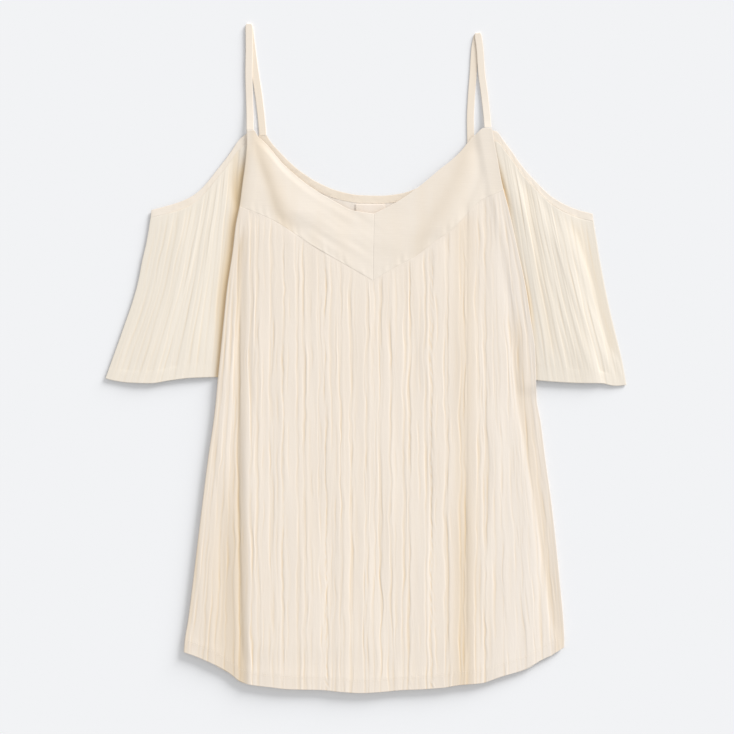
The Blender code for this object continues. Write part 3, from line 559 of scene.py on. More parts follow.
def filled(tree, node, inputs):
    """The node with its inputs set, each to a value or from another node's socket."""
    for name, value in inputs.items():
        if isinstance(value, bpy.types.NodeSocket):
            tree.links.new(value, node.inputs[name])
        else:
            node.inputs[name].default_value = value
    return node


def new_node(tree, kind, inputs):
    return filled(tree, tree.nodes.new("ShaderNode" + kind), inputs)


def blended(tree, first, second, factor):
    """first turning into second as factor goes from 0 to 1, where each is a colour or a socket."""
    node = tree.nodes.new("ShaderNodeMix")
    node.data_type = "RGBA"
    first, second = [(*colour, 1) if isinstance(colour, tuple) else colour for colour in (first, second)]
    return filled(tree, node, {"A": first, "B": second, "Factor": factor}).outputs["Result"]


def attribute(tree, name):
    node = tree.nodes.new("ShaderNodeAttribute")
    node.attribute_name = name
    return node.outputs["Fac"]


def finish(name, slot, colour, deep, roughness, texture):
    """A cloth material and its slot: two close tones, painted shade from the hollow and shade attributes, a
    soft sheen, and a bump from texture(tree, place).
    """
    material = bpy.data.materials.new(name)
    material.use_nodes = True
    tree = material.node_tree
    place = tree.nodes.new("ShaderNodeTexCoord").outputs["Object"]
    patches = noise_node(tree, place, (45, 9, 45), 4)
    tones = blended(tree, deep, colour, stretch(tree, patches, 0.25, 0.6))
    # Painted shade: the hollow attribute mixes in the warm crease shade colour, and the shade attribute
    # darkens the colour towards black.
    crease_shaded = blended(tree, tones, PAINTED_CREASE_SHADE, attribute(tree, "hollow"))
    shaded = blended(tree, crease_shaded, (0, 0, 0), attribute(tree, "shade"))
    height, strength, distance = texture(tree, place)
    bump = new_node(tree, "Bump", {"Strength": strength, "Distance": distance, "Height": height})
    inputs = {"Base Color": shaded, "Normal": bump.outputs["Normal"], "Roughness": roughness}
    inputs |= {"Specular IOR Level": 0.25, "Sheen Weight": 0.12, "Sheen Roughness": 0.5}
    filled(tree, tree.nodes["Principled BSDF"], inputs)
    return material, slot


def noise_node(tree, place, scale, detail):
    """Noise over the object, with its own scale on each axis, per metre."""
    mapping = new_node(tree, "Mapping", {"Scale": scale, "Vector": place})
    inputs = {"Scale": 1.0, "Detail": detail, "Vector": mapping.outputs["Vector"]}
    return new_node(tree, "TexNoise", inputs).outputs["Fac"]


def wave_node(tree, place, axis, scale, distortion):
    """Fine parallel ribs across one axis."""
    inputs = {"Scale": scale, "Distortion": distortion, "Detail": 1.0, "Detail Scale": 2.0, "Vector": place}
    texture = new_node(tree, "TexWave", inputs)
    texture.bands_direction = axis
    return texture.outputs["Fac"]


def combine(tree, operation, first, second):
    node = tree.nodes.new("ShaderNodeMath")
    node.operation = operation
    return filled(tree, node, {0: first, 1: second}).outputs["Value"]


def stretch(tree, value, low, high):
    """value moved so that low becomes 0 and high becomes 1."""
    inputs = {"From Min": low, "From Max": high, "Value": value}
    return new_node(tree, "MapRange", inputs).outputs["Result"]


def weave(tree, place):
    """A plain weave of about 0.8 mm, with uneven yarns."""
    warp = wave_node(tree, place, "X", 390.0, 2.0)
    weft = wave_node(tree, place, "Y", 330.0, 3.0)
    yarns = noise_node(tree, place, (900, 120, 900), 3)
    threads = combine(tree, "MULTIPLY", combine(tree, "ADD", warp, weft), 0.35)
    return combine(tree, "ADD", threads, yarns), 0.35, 0.00022


def jersey(tree, place):
    """Fine knitted cloth: tiny upright ribs and faint level slubs."""
    ribs = wave_node(tree, place, "X", 480.0, 1.5)
    slubs = noise_node(tree, place, (60, 700, 60), 3)
    return combine(tree, "ADD", combine(tree, "MULTIPLY", ribs, 0.35), slubs), 0.3, 0.0002


def tape(tree, place):
    """Close satin tape."""
    return wave_node(tree, place, "Y", 520.0, 0.5), 0.25, 0.00015


CRINKLE_CLOTH = finish("crinkle_cloth", "crinkle_cloth", IVORY, IVORY_DEEP, 0.82, weave)
SLEEVE_CLOTH = finish("sleeve_cloth", "crinkle_cloth", SLEEVE_IVORY, SLEEVE_DEEP, 0.82, weave)
SMOOTH_CLOTH = finish("smooth_cloth", "smooth_cloth", YOKE, YOKE_DEEP, 0.74, jersey)
LABEL_CLOTH = finish("label_tape", "label_cloth", TAPE, TAPE_DEEP, 0.5, tape)
STITCH_THREAD = finish("sewing_thread", "crinkle_cloth", THREAD, THREAD, 0.6, tape)


def hollow_of(relief, spacing):
    """How hollow each place is, from 0 to 1: how far it lies under its neighbours within about 4 mm."""
    reach = max(1, int(4.0 / spacing))
    kernel = np.hanning(2 * reach + 3)[1:-1]
    padded = np.pad(relief, ((0, 0), (reach, reach)), mode="edge")
    around = np.apply_along_axis(lambda row: np.convolve(row, kernel / kernel.sum(), "valid"), 1, padded)
    return np.clip((around - relief) / 0.17, 0, 1)


def front_tint_and_painted_shade(x, y):
    """A faint warm tint over all but the right part, and painted shade: warm shade and darkening painted
    beside the deep folds and at the rims, with a faint darkening over the right part.
    """
    left, right, fan = x - fold_paths[0](y), x - fold_paths[1](y), x - fold_paths[3](y)
    from_left, from_right = from_sides(x, y)
    low = ease((-60 - y) / 190)
    start = ease((150 - y) / 30)
    beside_left = bell(left / np.where(left < 0, mix(5.0, 36.0, low), 6.5)) * start
    beside_right = bell((right + 2) / 11) * ease((165 - y) / 20)
    beside_fan = bell(fan / np.where(fan < 0, 3.0, 12.0)) * ease((70 - y) / 60)
    hollow = 0.02 + 0.07 * (1 - ease((x - 110) / 60)) + mix(0.13, 0.24, low) * beside_left
    hollow = hollow + mix(0.14, 0.30, low) * beside_right + 0.22 * beside_fan
    hollow = hollow + 0.17 * bell(left / 2.2) * start + 0.10 * bell(from_left / 4)
    shade = mix(0.05, 0.10, low) * beside_left + mix(0.03, 0.06, low) * beside_right
    shade = shade + 0.03 * beside_fan + 0.015 * ease((x - 60) / 60)
    shade = shade + 0.05 * bell(from_left / 4) + 0.04 * bell(from_right / 5)
    return np.stack([hollow, shade], -1)


def front_base(x, y):
    """Height of the front panel's outer side without its crinkle."""
    from_left, from_right = from_sides(x, y)
    above_hem = y - hem_line(x)
    doubled = 0.06 * (1 - ease((above_hem - HEM_DEPTH + 0.6) / 2.4))
    drop = rounded(from_left, 0.9) + rounded(from_right, 0.12) + rounded(above_hem, 0.3)
    return front_inner(x, y) + WALL + doubled - drop


def front_freedom(x, y):
    """How freely the cloth crinkles: less at its seam, its hem and its edges."""
    below_seam = seam_height(x) - y
    above_hem = y - hem_line(x)
    side = np.minimum(*from_sides(x, y))
    held = (0.35 + 0.65 * ease(below_seam / 14)) * mix(1.0, 0.85, ease((HEM_DEPTH - above_hem) / 3))
    return held * (0.3 + 0.7 * ease(side / 4)) * (0.2 + 0.8 * ease(below_seam / 2.5))


def front_surface(x, y):
    """Height of the outer side of the front panel."""
    return front_base(x, y) + front_relief(x, y) * front_freedom(x, y)


def front_panel():
    """The crinkled front with its turned hem, as fine cloth. Its top edge goes 1.5 mm under the yoke."""
    columns, rows = 790, 100
    u = np.linspace(0, 1, columns)
    close = 3.0 * (np.arange(7) / 7) ** 1.5
    share = np.concatenate([np.ones(9), np.linspace(1, 0, rows), np.zeros(16)])
    below_top = np.concatenate([[-1.5, -0.9, -0.2, 0.1, 0.4, 1.0, 1.7, 2.5, 3.4], np.full(rows + 16, 4.4)])
    low = [16.4, 15.8, 15.0, 13.0, 11.0, 9.0, 7.0, 5.2, 3.8, 2.8, 2.0, 1.4, 0.9, 0.5, 0.2, 0.0]
    above_hem = np.concatenate([np.full(rows + 9, HEM_DEPTH), low])
    y = np.zeros((len(share), columns + 14))
    for _ in range(14):
        left, right = left_edge(y), right_edge(y)
        middle = mix(left[:, 7:-7] + 3, right[:, 7:-7] - 3, u)
        x = np.concatenate([left[:, :7] + close, middle, right[:, -7:] - close[::-1]], axis=1)
        y = mix(hem_line(x) + above_hem[:, None], seam_height(x) - below_top[:, None], share[:, None])
    relief = front_relief(x, y) * front_freedom(x, y)
    rim = np.minimum(*from_sides(x, y))
    x = x + drift(x, y, 61) * ease((rim - 3) / 9) * ease((seam_height(x) - y) / 16)
    lap = 0.45 * ease((0.12 - (seam_height(x) - y)) / 0.3)
    z = front_base(x, y) + relief - lap
    outer = np.stack([x, y, z], -1)
    within = ease(rim / 2) * ease((y - hem_line(x)) / 2)
    under = mix(BACK_TOP + 0.25, front_inner(x, y) + WALL - SHELL, within)
    low_x = np.clip(x, left_edge(y) + 0.8, right_edge(y) - UNDERCUT)
    inner = np.stack([low_x, np.maximum(y, hem_line(x) + 0.6), np.minimum(under, z - 0.3)], -1)
    # Painted shade: warmth and darkening beside the folds and at the rims, and warm shade painted into the
    # crinkle's hollows.
    tint_and_painted_shade = front_tint_and_painted_shade(x, y)
    tint_and_painted_shade[..., 0] += 0.5 * hollow_of(relief, 0.48)
    return shell("front_cloth", "front_panel", outer, inner, (6, 9), CRINKLE_CLOTH, tint_and_painted_shade)


def yoke_relief(x, y):
    """Soft wrinkles of the yoke: slanting ones beside the centre seam, and puckers along the seams."""
    slant = (x + CENTRE_FRONT) * 0.55 + (y - 130) * 0.83
    near = bell((x + 30) / 42) * bell((y - 140) / 34)
    height = 0.22 * near * noise(slant / 6.5, (x - y) / 60, 31)
    height = height + 0.10 * noise(slant / 15, (x - y) / 50, 32)
    above = y - seam_height(x)
    height = height + 0.16 * noise(x / 4.2, above / 40, 33) * (1 - ease(above / 16)) * ease(above / 2.5)
    return height


def yoke_surface(x, y, neck_distance, seam_distance, centre_distance):
    """Height of the outer side of the yoke, rounded at its edges and lifted along its seam."""
    drop = rounded(neck_distance, 0.12) + 0.6 * rounded(seam_distance, 0.2)
    drop = drop + 0.25 * rounded(centre_distance, 0.4) - 0.08 * (1 - ease(seam_distance / 6))
    from_left, from_right = from_sides(x, y)
    edge = rounded(from_left, 0.9) + 0.35 * bell(from_left / 5) + rounded(from_right, 0.12)
    return front_inner(x, y) + WALL + yoke_relief(x, y) - drop - edge


def yoke(name, neck, corner, edge, sign):
    """One half of the smooth V yoke. sign is -1 on the left half and 1 on the right."""
    columns, rows = 190, 54
    t = closer(columns, [0.002, 0.005, 0.01, 0.99, 0.995, 0.998])
    v = closer(rows, [0.004, 0.009, 0.014, 0.986, 0.991, 0.996])[:, None]
    high_x, high_y = path_line(neck)(t)
    high_x[-1], high_y[-1] = CENTRE_NECK[0] + sign * 0.04, CENTRE_NECK[1]
    low_x = mix(corner[0], CENTRE_FRONT + sign * 0.04, t)
    low_y = seam_height(low_x)

    def plan(v):
        edge_y = mix(neck[0][1], corner[1], v)
        bow = (edge(edge_y) - mix(neck[0][0], corner[0], v)) * (1 - t) ** 3
        return mix(high_x, low_x, v) + bow, mix(high_y, low_y, v)

    x, y = plan(v)
    depth = np.hypot(high_x - low_x, high_y - low_y)
    from_centre = (1 - t) * math.dist(neck[0], CENTRE_NECK) * np.ones_like(v)
    z = yoke_surface(x, y, v * depth * 0.75, (1 - v) * depth * 0.75, from_centre)
    outer = np.stack([x, y, z], -1)
    rim = np.minimum(*from_sides(x, y))
    lift = 0.55 * (1 - ease((1 - v) * depth / 5))
    under = front_inner(x, y) + WALL - SHELL + lift * ease(rim / 2)
    low_plan = plan(mix(0.016, 1.0, v))
    low_x = np.clip(low_plan[0], left_edge(y) + 0.8, right_edge(y) - UNDERCUT)
    inner = np.stack([low_x, low_plan[1], np.minimum(under, z - 0.3)], -1)
    # Painted shade: warmth and darkening painted along the yoke's two valleys, at its left tip and its rims,
    # with a slight darkening over all of it and more over the right half.
    dip, band = x - step_paths[0](y), x - step_paths[2](y)
    hollow = 0.22 * bell(dip / np.where(dip < 0, 7.0, 12.0)) + 0.10 * bell(band / 12)
    tip = 1 - ease((y - 222) / 22)
    from_left, from_right = from_sides(x, y)
    hollow = hollow + 0.22 * bell(from_left / 4) * tip
    shade = 0.012 + 0.015 * (sign > 0) + 0.035 * bell(band / 13)
    shade = shade + 0.05 * bell(from_left / 4) * tip + 0.03 * bell(from_right / 4)
    tint_and_painted_shade = np.stack([hollow, shade], -1)
    if sign > 0:
        outer, inner, tint_and_painted_shade = outer[:, ::-1], inner[:, ::-1], tint_and_painted_shade[:, ::-1]
    return shell(name + "_cloth", name, outer, inner, (5, 5), SMOOTH_CLOTH, tint_and_painted_shade)


def armhole(y, seam):
    high, low = ARMHOLE_LEVELS
    return mix(seam[0], seam[1], (high - y) / (high - low))


def back_panel():
    """The back, flat on the ground, crinkled on both sides."""
    seam_x, seam_y = path_line(BINDING_SEAM)(np.linspace(0, 1, 220))
    dx, dy = np.gradient(seam_x), np.gradient(seam_y)
    run = np.hypot(dx, dy)
    seam_x, seam_y = seam_x + dy / run * SEAM_GAP, seam_y - dx / run * SEAM_GAP
    tip_left, tip_right = seam_y[0], seam_y[-1] + 6.0
    start, end = armhole(tip_left, ARMHOLE_LEFT), armhole(tip_right, ARMHOLE_RIGHT)
    tips = np.linspace(start, seam_x[0], 8)[:-1], np.linspace(seam_x[-1], end, 12)[1:]
    top_x = np.concatenate([tips[0], seam_x, tips[1]])
    top_y = np.concatenate([np.full(7, tip_left), seam_y, np.linspace(seam_y[-1], tip_right, 12)[1:]])
    u = (top_x - start) / (end - start)
    v = closer(110, [0.476, 0.484, 0.492, 0.992, 0.997])[:, None]
    low_y = hem_line(mix(FRONT_SIDES[-1][1], FRONT_SIDES[-1][2], u)) + BACK_INSET
    y = mix(top_y, low_y, v)
    widen = ease((SLEEVE_END - y) / 8)
    left = mix(armhole(y, ARMHOLE_LEFT), left_edge(y) + BACK_INSET, widen)
    right = mix(armhole(y, ARMHOLE_RIGHT), right_edge(y) - BACK_INSET_RIGHT, widen)
    x = mix(left, right, u)
    x[0] = top_x
    rim = np.minimum(np.minimum(x - left, right - x), np.minimum(y - low_y, top_y - y))
    relief = 0.7 * (front_relief(-x, y + 7) + 0.35) * ease(rim / 5)
    above = np.stack([x, y, BACK_TOP - 0.15 * ease(rim / 6) + 0.35 * np.clip(relief, -0.8, 0.7)], -1)
    below = np.stack([x, y, np.clip(0.3 - 0.6 * relief, 0.0, 0.55) * ease(rim / 4)], -1)
    return shell("back_cloth", "back_panel", above, below, (1, 1), CRINKLE_CLOTH)


def neck_binding():
    """The folded binding round the back neckline, rounded at its fold."""
    t = np.linspace(0, 1, 190)
    edge_x, edge_y = path_line(BINDING_EDGE)(t)
    seam_x, seam_y = path_line(BINDING_SEAM)(t)
    v = np.array([0, 0.03, 0.08, 0.15, 0.3, 0.45, 0.6, 0.75, 0.88, 0.95, 1.0])[:, None]
    x, y = mix(edge_x, seam_x, v), mix(edge_y, seam_y, v)
    drop = rounded(v * BAND_WIDTH, 0.15) + 0.15 * v
    ripple = 0.08 * noise(t * 70, v * 2, 41)
    top = np.stack([x, y, BINDING_WALL - drop + ripple + 0 * x], -1)
    inset = mix(0.16, 1.0, v)
    low = np.stack([mix(edge_x, seam_x, inset), mix(edge_y, seam_y, inset), 0 * x], -1)
    # A plain warmer tint all over, and painted shade at the outer rim.
    tint_and_painted_shade = np.zeros((*top.shape[:2], 2))
    tint_and_painted_shade[..., 0] = 0.14
    tint_and_painted_shade[0] = (0.2, 0.3)
    name, node = "neck_binding_cloth", "back_neck_binding"
    return shell(name, node, top, low, (2, 3), SMOOTH_CLOTH, tint_and_painted_shade)


def sleeve_place(cut, top_drop):
    """Plan of a sleeve as a function of width share t and length share v, below the first top_drop mm."""
    shoulder, hem = cut["shoulder"], cut["hem"]
    shoulder_line, hem_curve = path_line(shoulder), path_line(hem)
    outer_line = smooth_line(cut["outer"])
    inner_top, inner_low = shoulder[0][1] - 1.4 * top_drop, hem[0][1]
    outer_top, outer_low = shoulder[-1][1] - top_drop, hem[-1][1]

    def place(t, v):
        high_x, high_y = shoulder_line(t)
        low_x, low_y = hem_curve(t**0.9)
        x, y = mix(high_x, low_x, v), mix(high_y - top_drop * mix(1.4, 1.0, t), low_y, v)
        inner_bow = armhole(mix(inner_top, inner_low, v), cut["seam"]) - mix(shoulder[0][0], hem[0][0], v)
        outer_bow = outer_line(mix(outer_top, outer_low, v)) - mix(shoulder[-1][0], hem[-1][0], v)
        return x + mix(inner_bow, outer_bow, t), y

    return place


def folded_shell(node, place, t, v, tuck, upper, lower, cloth, tint_and_painted_shade=None):
    """A node's cloth, folded round its outer side: lower layer, fold and upper layer as one shell.

    upper(t, v) and lower(t, v) are the heights of the upper layer's top and of the lower layer's underside.
    The lower layer starts a share tuck of the width further in, so that the upper one hangs over it.
    """
    v = v[:, None]
    one = np.ones_like(v)
    edge_x, edge_y = place(one, v)
    near_x, near_y = place(0.97 * one, v)
    start_x, start_y = place(0 * one, v)
    run = np.hypot(edge_x - near_x, edge_y - near_y)
    away = (edge_x - near_x) / run, (edge_y - near_y) / run
    height = upper(one, v)
    turn = 1.1 * height
    last = 1 - turn / np.hypot(edge_x - start_x, edge_y - start_y)
    out, up = np.array(FOLD_TURN).T
    parts = []
    for thick in (0.0, SHELL):
        centre = place(last, mix(tuck * (1 - up), 1.0, v))
        back = *place(t * last, mix(tuck, 1.0, v)), lower(t, v) + thick
        turned = [middle + side * (turn - 1.2 * thick) * out for middle, side in zip(centre, away)]
        turned.append(thick + (height - 2 * thick) * up)
        front = place(t[::-1] * last, mix(0.5 * tuck if thick else 0.0, 1.0, v))
        columns = zip(back, turned, (*front, upper(t[::-1], v) - thick))
        parts.append(np.stack([np.concatenate(values, 1) for values in columns], -1))
    outer, inner = parts
    clear = outer[..., 2] > 0.5 * height
    under_upper, over_lower = np.minimum(inner[..., 2], outer[..., 2] - 0.3), np.maximum(inner[..., 2], 0.3)
    inner[..., 2] = np.where(clear, under_upper, over_lower)
    # Painted shade at the turn of the fold, and at the first row of a piece that brings none of its own.
    shown = np.zeros((*outer.shape[:2], 2))
    shown[:, len(t) : len(t) + len(up) - 1] = (0.1, 0.3)
    if tint_and_painted_shade is not None:
        shown[:, -len(t) :] = tint_and_painted_shade(t[None, :], v)[:, ::-1]
    else:
        shown[0] = (0.1, 0.3)
    if edge_x.mean() < 0:
        outer, inner, shown = outer[:, ::-1], inner[:, ::-1], shown[:, ::-1]
    return shell(node + "_cloth", node, outer, inner, (4, 4), cloth, shown)


def sleeve_relief(cut, creases, seed):
    """Crinkle of a sleeve at width share t and length share v."""
    width_top = math.dist(cut["shoulder"][0], cut["shoulder"][-1])
    width_low = math.dist(cut["hem"][0], cut["hem"][-1])
    steepest = SLEEVE_SLOPE_LEFT if cut is SLEEVE_LEFT else SLEEVE_SLOPE_RIGHT

    def relief(t, v):
        width = mix(width_top, width_low, v)
        down = SLEEVE_LENGTH * v
        height = 0.14 * noise(t * width / 6, down / 60, seed)
        height = height + 0.25 * noise(t * width / 17, down / 90, seed + 1)
        for k, (top, low, strength) in enumerate(creases):
            across = (t - mix(top, low, v)) * width - 1.4 * sway(down, k, seed + 2)
            steep = steepest * strength * fade(down, k + seed, 40, 0.3)
            height = height + crease(across, 0.85, 3.3, steep)
        rng = np.random.default_rng(seed)
        for k in range(FINE_SLEEVE_CREASES):
            place, strength = rng.uniform(0.1, 0.97), rng.choice([-1, 1]) * rng.uniform(0.12, 0.3)
            shown = np.clip(noise(down / 50, 2.9 * k, seed + 5) * 2.2, 0, 1)
            across = (t - place) * width - 0.7 * sway(down, k + 40, seed + 6)
            height = height + crease(across, 0.85, 2.4, strength * shown)
        return height

    return relief


def sleeve(node, cut, creases, folds, seed):
    """One sleeve as fine crinkle cloth, with its turned hem."""
    place = sleeve_place(cut, BAND_WIDTH + SEAM_GAP)
    whole = sleeve_place(cut, 0.0)
    relief = sleeve_relief(cut, creases, seed)
    hem_share = SLEEVE_HEM_DEPTH / SLEEVE_LENGTH
    fold_height = SLEEVE_FOLD_LEFT if cut is SLEEVE_LEFT else SLEEVE_FOLD_RIGHT

    def reach(t, v):
        x, y = place(t, v)
        return left_edge(y) - x if cut is SLEEVE_LEFT else x - right_edge(y)

    def loft(t, v):
        ends = [whole(0 * t + end, 0 * t + v) for end in (0.0, 1.0)]
        length = np.hypot(ends[1][0] - ends[0][0], ends[1][1] - ends[0][1])
        beyond = reach(t, v)
        if cut is SLEEVE_LEFT:
            rise = 0.75 * ease(beyond / 34)
        else:
            y = place(t, v)[1]
            open_crease = 0.5 * bell((y - 180) / 26) * (1 - ease((beyond - 0.5) / 4.5))
            rise = mix(0.55, 0.78, ease((beyond + 1) / 3.5)) + 0.22 * ease((beyond - 2) / 14) - open_crease
        rise = rise * ease(t * length / 4) * (1 - 0.35 * ease((v - 0.8) / 0.2))
        full = SLEEVE_INNER + SLEEVE_LOFT * rise * (0.3 + 0.7 * ease(v / 0.25))
        return mix(fold_height - WALL, full, ease((1 - t) * length / 42))

    def shown(t, v):
        in_hem = ease((v - 1 + hem_share) / 0.012)
        rim = ease((1 - t) / 0.03)
        return (0.25 + 0.75 * ease(v / 0.08)) * mix(1.0, 0.5, in_hem) * ease((t - 0.02) / 0.08) * rim

    def upper(t, v):
        doubled = 0.08 * ease((v - 1 + hem_share) / 0.012)
        drop = rounded((1 - v) * SLEEVE_LENGTH, 0.35) + 0.3 * rounded(v * SLEEVE_LENGTH, 0.3)
        x, y = place(t, v)
        smooth = loft(t, v) + WALL + doubled * (0.4 + 0.6 * ease((t - 0.1) / 0.1)) - drop
        low = fold_height - 0.25 + 0.3 * ease(t / 0.1)
        crinkled = smooth + relief(t, v) * shown(t, v) - fold_depth(folds, x, y)
        return np.maximum(crinkled, np.minimum(smooth, low))

    def lower(t, v):
        return np.clip(0.25 - 0.6 * relief(1 - t, v), 0.0, 0.5) * shown(t, v)

    t = np.linspace(0, 1, 170)
    v = closer(56, [0.004, 0.01, 0.914, 0.92, 0.926, 0.932, 0.99, 0.994, 0.997, 0.9985])

    # Painted shade: the front's shadow painted on the sleeve beside its edge, warm shade in the crinkle's
    # hollows and folds, darkening at the outer fold, and a slight darkening over all of the right sleeve.
    def tint_and_painted_shade(t, v):
        x, y = place(t, v)
        if cut is SLEEVE_LEFT:
            deep, near = 0.85, 8.5 * mix(0.45, 1.0, ease((y + 30) / 110))
        else:
            deep, near = 0.15 + 0.75 * bell((y - 185) / 24) + 0.5 * bell((y - 62) / 26), 3.6
        beside = bell(np.maximum(reach(t, v), 0) / near) * ease((v - 0.02) / 0.12)
        broad = bell(np.maximum(reach(t, v), 0) / (1.6 * near)) * ease((v - 0.02) / 0.12)
        hollow = 0.5 * hollow_of(relief(t, v), 0.9) * shown(t, v) + deep * beside
        hollow = hollow + 0.3 * np.clip(fold_depth(folds, x, y), 0, 1)
        shade = 0.05 * broad + 0.03 * bell((1 - t) / 0.04) + (0.0 if cut is SLEEVE_LEFT else 0.025)
        return np.stack([hollow, shade], -1)

    return folded_shell(node, place, t, v, 0.0, upper, lower, SLEEVE_CLOTH, tint_and_painted_shade)


def shoulder_band(node, cut, seed):
    """The narrow folded band along a sleeve's bare-shoulder edge."""
    whole, below = sleeve_place(cut, 0.0), sleeve_place(cut, BAND_WIDTH)

    def place(t, v):
        (high_x, high_y), (low_x, low_y) = whole(t, 0.0), below(t, 0.0)
        return mix(high_x, low_x, v), mix(high_y, low_y, v)

    end = SLEEVE_FOLD_LEFT if cut is SLEEVE_LEFT else SLEEVE_FOLD_RIGHT

    def upper(t, v):
        drop = rounded(v * BAND_WIDTH, 0.15) + 0.3 * rounded((1 - v) * BAND_WIDTH, 0.3)
        ripple = 0.08 * noise(t * 34, v * 2, seed) + 0 * t * v
        return mix(BAND_TOP, end, ease((t - 0.4) / 0.6)) - drop + ripple

    def lower(t, v):
        return 0.4 * rounded(v * BAND_WIDTH, 0.9) + 0 * t

    t = np.linspace(0, 1, 120)
    v = np.array([0, 0.03, 0.08, 0.15, 0.3, 0.45, 0.6, 0.75, 0.88, 0.95, 1.0])
    return folded_shell(node, place, t, v, 0.16, upper, lower, SMOOTH_CLOTH)


def strap(node, cut):
    """A narrow strap: flat tape with rounded edges, folded over at its top, where it narrows."""
    front, back = path_line(cut["front"]), path_line(cut["back"])
    lowered = lambda z: z - 0.7 + 0.8 * (z - 1.8) / 1.5
    fold_inner = lowered(cut["front"][-1][2])
    fold_outer = fold_inner + STRAP_WALL
    hollow = (fold_inner - STRAP_WALL) / 2
    t = np.concatenate([np.linspace(0, 0.96, 54), np.linspace(0.966, 1, 7)])
    x, y, low = front(t)
    heading = np.array([x[-1] - x[-2], y[-1] - y[-2]]) / math.hypot(x[-1] - x[-2], y[-1] - y[-2])
    back_x, back_y = back(mix(0.02, 1.0, 1 - t[::-1]))
    outer, inner = [], []
    across = np.array([-1, -0.97, -0.9, -0.75, -0.4, 0, 0.4, 0.75, 0.9, 0.97, 1])
    round_off = rounded((1 - np.abs(across)) * STRAP_WIDTH / 2, 0.3)

    def width_at(px, py):
        below = fold_outer / 2 + heading[0] * (x[-1] - px) + heading[1] * (y[-1] - py)
        near = 1 - np.clip(below / STRAP_ROUNDING, 0, 1)
        return STRAP_WIDTH / 2 * (0.4 + 0.6 * math.sqrt(1 - near * near))

    def add(px, py, dx, dy, pushes, heights, upward):
        """A row across the strap: its outer and its inner side, each pushed on along the strap."""
        dx, dy = dx / math.hypot(dx, dy), dy / math.hypot(dx, dy)
        for grid, push, z, drop in zip((outer, inner), pushes, heights, (-1.0, 0.5)):
            at_x, at_y = px + dx * push, py + dy * push
            half = across * width_at(at_x, at_y)
            grid.append(np.stack([at_x + dy * half, at_y - dx * half, z + upward * drop * round_off], -1))

    for px, py, dx, dy, z in zip(x, y, np.gradient(x), np.gradient(y), lowered(low)):
        add(px, py, dx, dy, (0, 0), (z + STRAP_WALL, z), 1)
    for angle in np.linspace(math.pi / 2, -math.pi / 2, 14)[1:-1]:
        out, up = math.cos(angle), math.sin(angle)
        heights = fold_outer / 2 * (1 + up), (STRAP_WALL + fold_inner) / 2 + hollow * up
        add(x[-1], y[-1], *heading, (fold_outer / 2 * out, hollow * out), heights, 0)
    for px, py, dx, dy in zip(back_x, back_y, -np.gradient(back_x), -np.gradient(back_y)):
        add(px, py, dx, dy, (0, 0), (0.0, STRAP_WALL), -1)
    outer, inner = np.array(outer), np.array(inner)
    top, low = outer[..., 2], inner[..., 2]
    inner[..., 2] = np.where(top > low, np.minimum(low, top - 0.2), low)
    # Painted shade along the strap's two side edges, and none on its underside.
    tint_and_painted_shade = np.zeros((*outer.shape[:2], 2))
    tint_and_painted_shade[:, [0, -1], 1] = 0.15
    outer, inner = outer[:, ::-1], inner[:, ::-1]
    return shell(node + "_cloth", node, outer, inner, (1, 1), SMOOTH_CLOTH, tint_and_painted_shade, 0.0)


def neck_label():
    """The blank label: flat tape with rounded edges, which goes in under the front."""
    width, height = LABEL_SIZE
    left = CENTRE_NECK[0] - LABEL_OFF_CENTRE - width / 2
    xs, ys = np.linspace(0, width, 40), np.linspace(0, height, 26)[:, None]
    rim = np.minimum(np.minimum(xs, width - xs), np.minimum(ys, height - ys))
    low = BACK_TOP + LAYER_GAP + 0.1 * np.sin(xs / 6) + 0 * ys
    high = low + LABEL_WALL - 0.4 * rounded(rim, 0.5)
    x, y = left + xs + 0 * ys, LABEL_TOP - ys + 0 * xs
    top, under = np.stack([x, y, high], -1), np.stack([x, y, low], -1)
    return shell("neck_label_tape", "neck_label", top, under, (3, 3), LABEL_CLOTH)


def stitches(points):
    """A row of machine stitches along points (x, y, z), each a small rounded bar: its points and faces."""
    lengths = np.concatenate([[0.0], np.cumsum(np.hypot(*np.diff(points[:, :2], axis=0).T))])
    at = lambda s: np.stack([np.interp(s, lengths, points[:, axis]) for axis in range(3)], -1)
    verts, faces = [], []
    for start in np.arange(0.6, lengths[-1] - STITCH_LENGTH, STITCH_LENGTH + STITCH_GAP):
        base = len(verts)
        for share in (0.0, 0.18, 0.5, 0.82, 1.0):
            along_row = start + share * STITCH_LENGTH
            centre = at(along_row)
            dx, dy = at(along_row + 0.1)[:2] - at(along_row - 0.1)[:2]
            run = math.hypot(dx, dy) or 1.0
            side = np.array([dy / run, -dx / run, 0.0])
            size = STITCH_THICK / 2 * math.sin(math.pi * (0.12 + 0.76 * share)) ** 0.5
            for k in range(6):
                out, up = math.cos(math.tau * k / 6), math.sin(math.tau * k / 6)
                verts.append(centre + side * size * out + np.array([0, 0, size * up * 0.8]))
        for ring in range(4):
            for k in range(6):
                a, b = base + 6 * ring + k, base + 6 * ring + (k + 1) % 6
                faces.append((a, b, b + 6, a + 6))
        faces.append(tuple(base + k for k in range(5, -1, -1)))
        faces.append(tuple(base + 24 + k for k in range(6)))
    return verts, faces


def front_stitching():
    """Two rows of stitches along the hem, as one piece."""
    verts, faces = [], []
    for below in STITCH_ROWS:
        x = np.linspace(-196, 213, 700)
        y = hem_line(x) + HEM_DEPTH - below
        inside = (x > left_edge(y) + 2) & (x < right_edge(y) - 2)
        x, y = x[inside], y[inside]
        more_verts, more_faces = stitches(np.stack([x, y, front_surface(x, y) + 0.02], -1))
        faces += [tuple(i + len(verts) for i in face) for face in more_faces]
        verts += more_verts
    return cloth_object("hem_stitches", None, verts, faces, STITCH_THREAD)


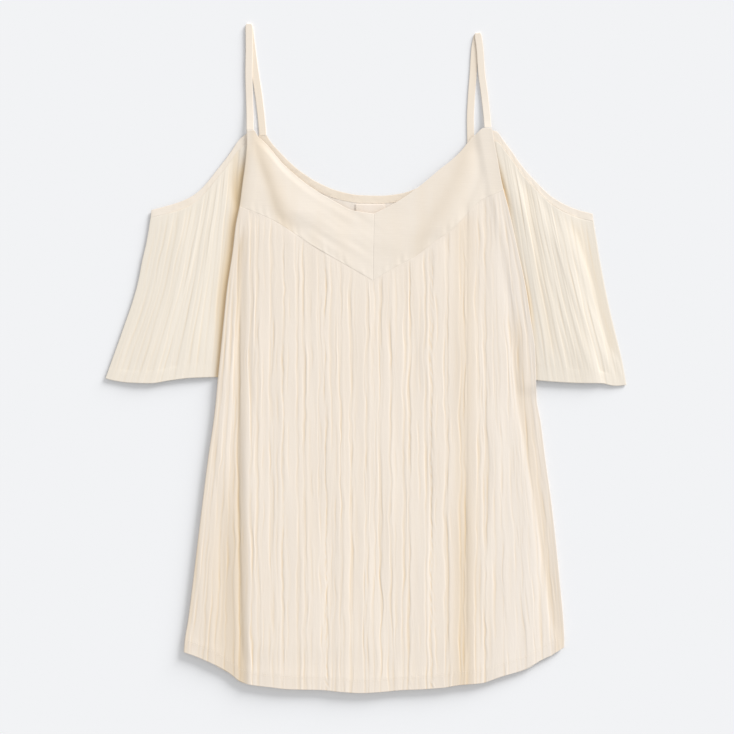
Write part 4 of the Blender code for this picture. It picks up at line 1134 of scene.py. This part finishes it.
def studio():
    """Pale floor, one low soft light from the upper right, even light all round, and the camera above."""
    bpy.ops.mesh.primitive_plane_add(size=30, location=(0, 0, -0.0002))
    floor = bpy.context.object
    floor.name = "floor"
    material = bpy.data.materials.new("floor_paper")
    material.use_nodes = True
    tree = material.node_tree
    paper = {"Base Color": (*FLOOR, 1), "Roughness": 1.0, "Specular IOR Level": 0.0}
    filled(tree, tree.nodes["Principled BSDF"], paper)
    floor.data.materials.append(material)

    world = bpy.data.worlds.new("studio")
    world.use_nodes = True
    tree = world.node_tree
    filled(tree, tree.nodes["Background"], {"Color": (1.0, 1.0, 1.0, 1), "Strength": WORLD_LIGHT})
    bpy.context.scene.world = world

    key = bpy.data.lights.new("key", "SUN")
    key.energy = KEY_ENERGY
    key.angle = math.radians(KEY_SPREAD)
    lamp = bpy.data.objects.new("key", key)
    bpy.context.scene.collection.objects.link(lamp)
    bearing, rise = math.radians(KEY_BEARING), math.radians(KEY_RISE)
    level = math.cos(rise)
    towards = Vector((math.cos(bearing) * level, math.sin(bearing) * level, math.sin(rise)))
    lamp.rotation_euler = towards.to_track_quat("Z", "Y").to_euler()

    view = bpy.data.cameras.new("camera")
    view.sensor_width = SENSOR
    view.lens = LENS
    camera = bpy.data.objects.new("camera", view)
    camera.location = (VIEW_CENTRE[0] * MM, VIEW_CENTRE[1] * MM, VIEW_WIDTH * MM * LENS / SENSOR)
    bpy.context.scene.collection.objects.link(camera)
    bpy.context.scene.camera = camera
    bpy.context.scene.view_settings.view_transform = "Standard"


front = front_panel()
back = back_panel()
yoke_left = yoke("yoke_left", NECK_LEFT, SEAM_LEFT[0], left_edge, -1)
yoke_right = yoke("yoke_right", NECK_RIGHT, SEAM_RIGHT[-1], right_edge, 1)
binding = neck_binding()
label = neck_label()
sleeve_left = sleeve("sleeve_left", SLEEVE_LEFT, SLEEVE_CREASES_LEFT, SLEEVE_FOLDS_LEFT, 50)
sleeve_right = sleeve("sleeve_right", SLEEVE_RIGHT, SLEEVE_CREASES_RIGHT, SLEEVE_FOLDS_RIGHT, 70)
band_left = shoulder_band("shoulder_band_left", SLEEVE_LEFT, 90)
band_right = shoulder_band("shoulder_band_right", SLEEVE_RIGHT, 91)
strap_left = strap("strap_left", STRAP_LEFT)
strap_right = strap("strap_right", STRAP_RIGHT)
hem_stitches = front_stitching()
studio()
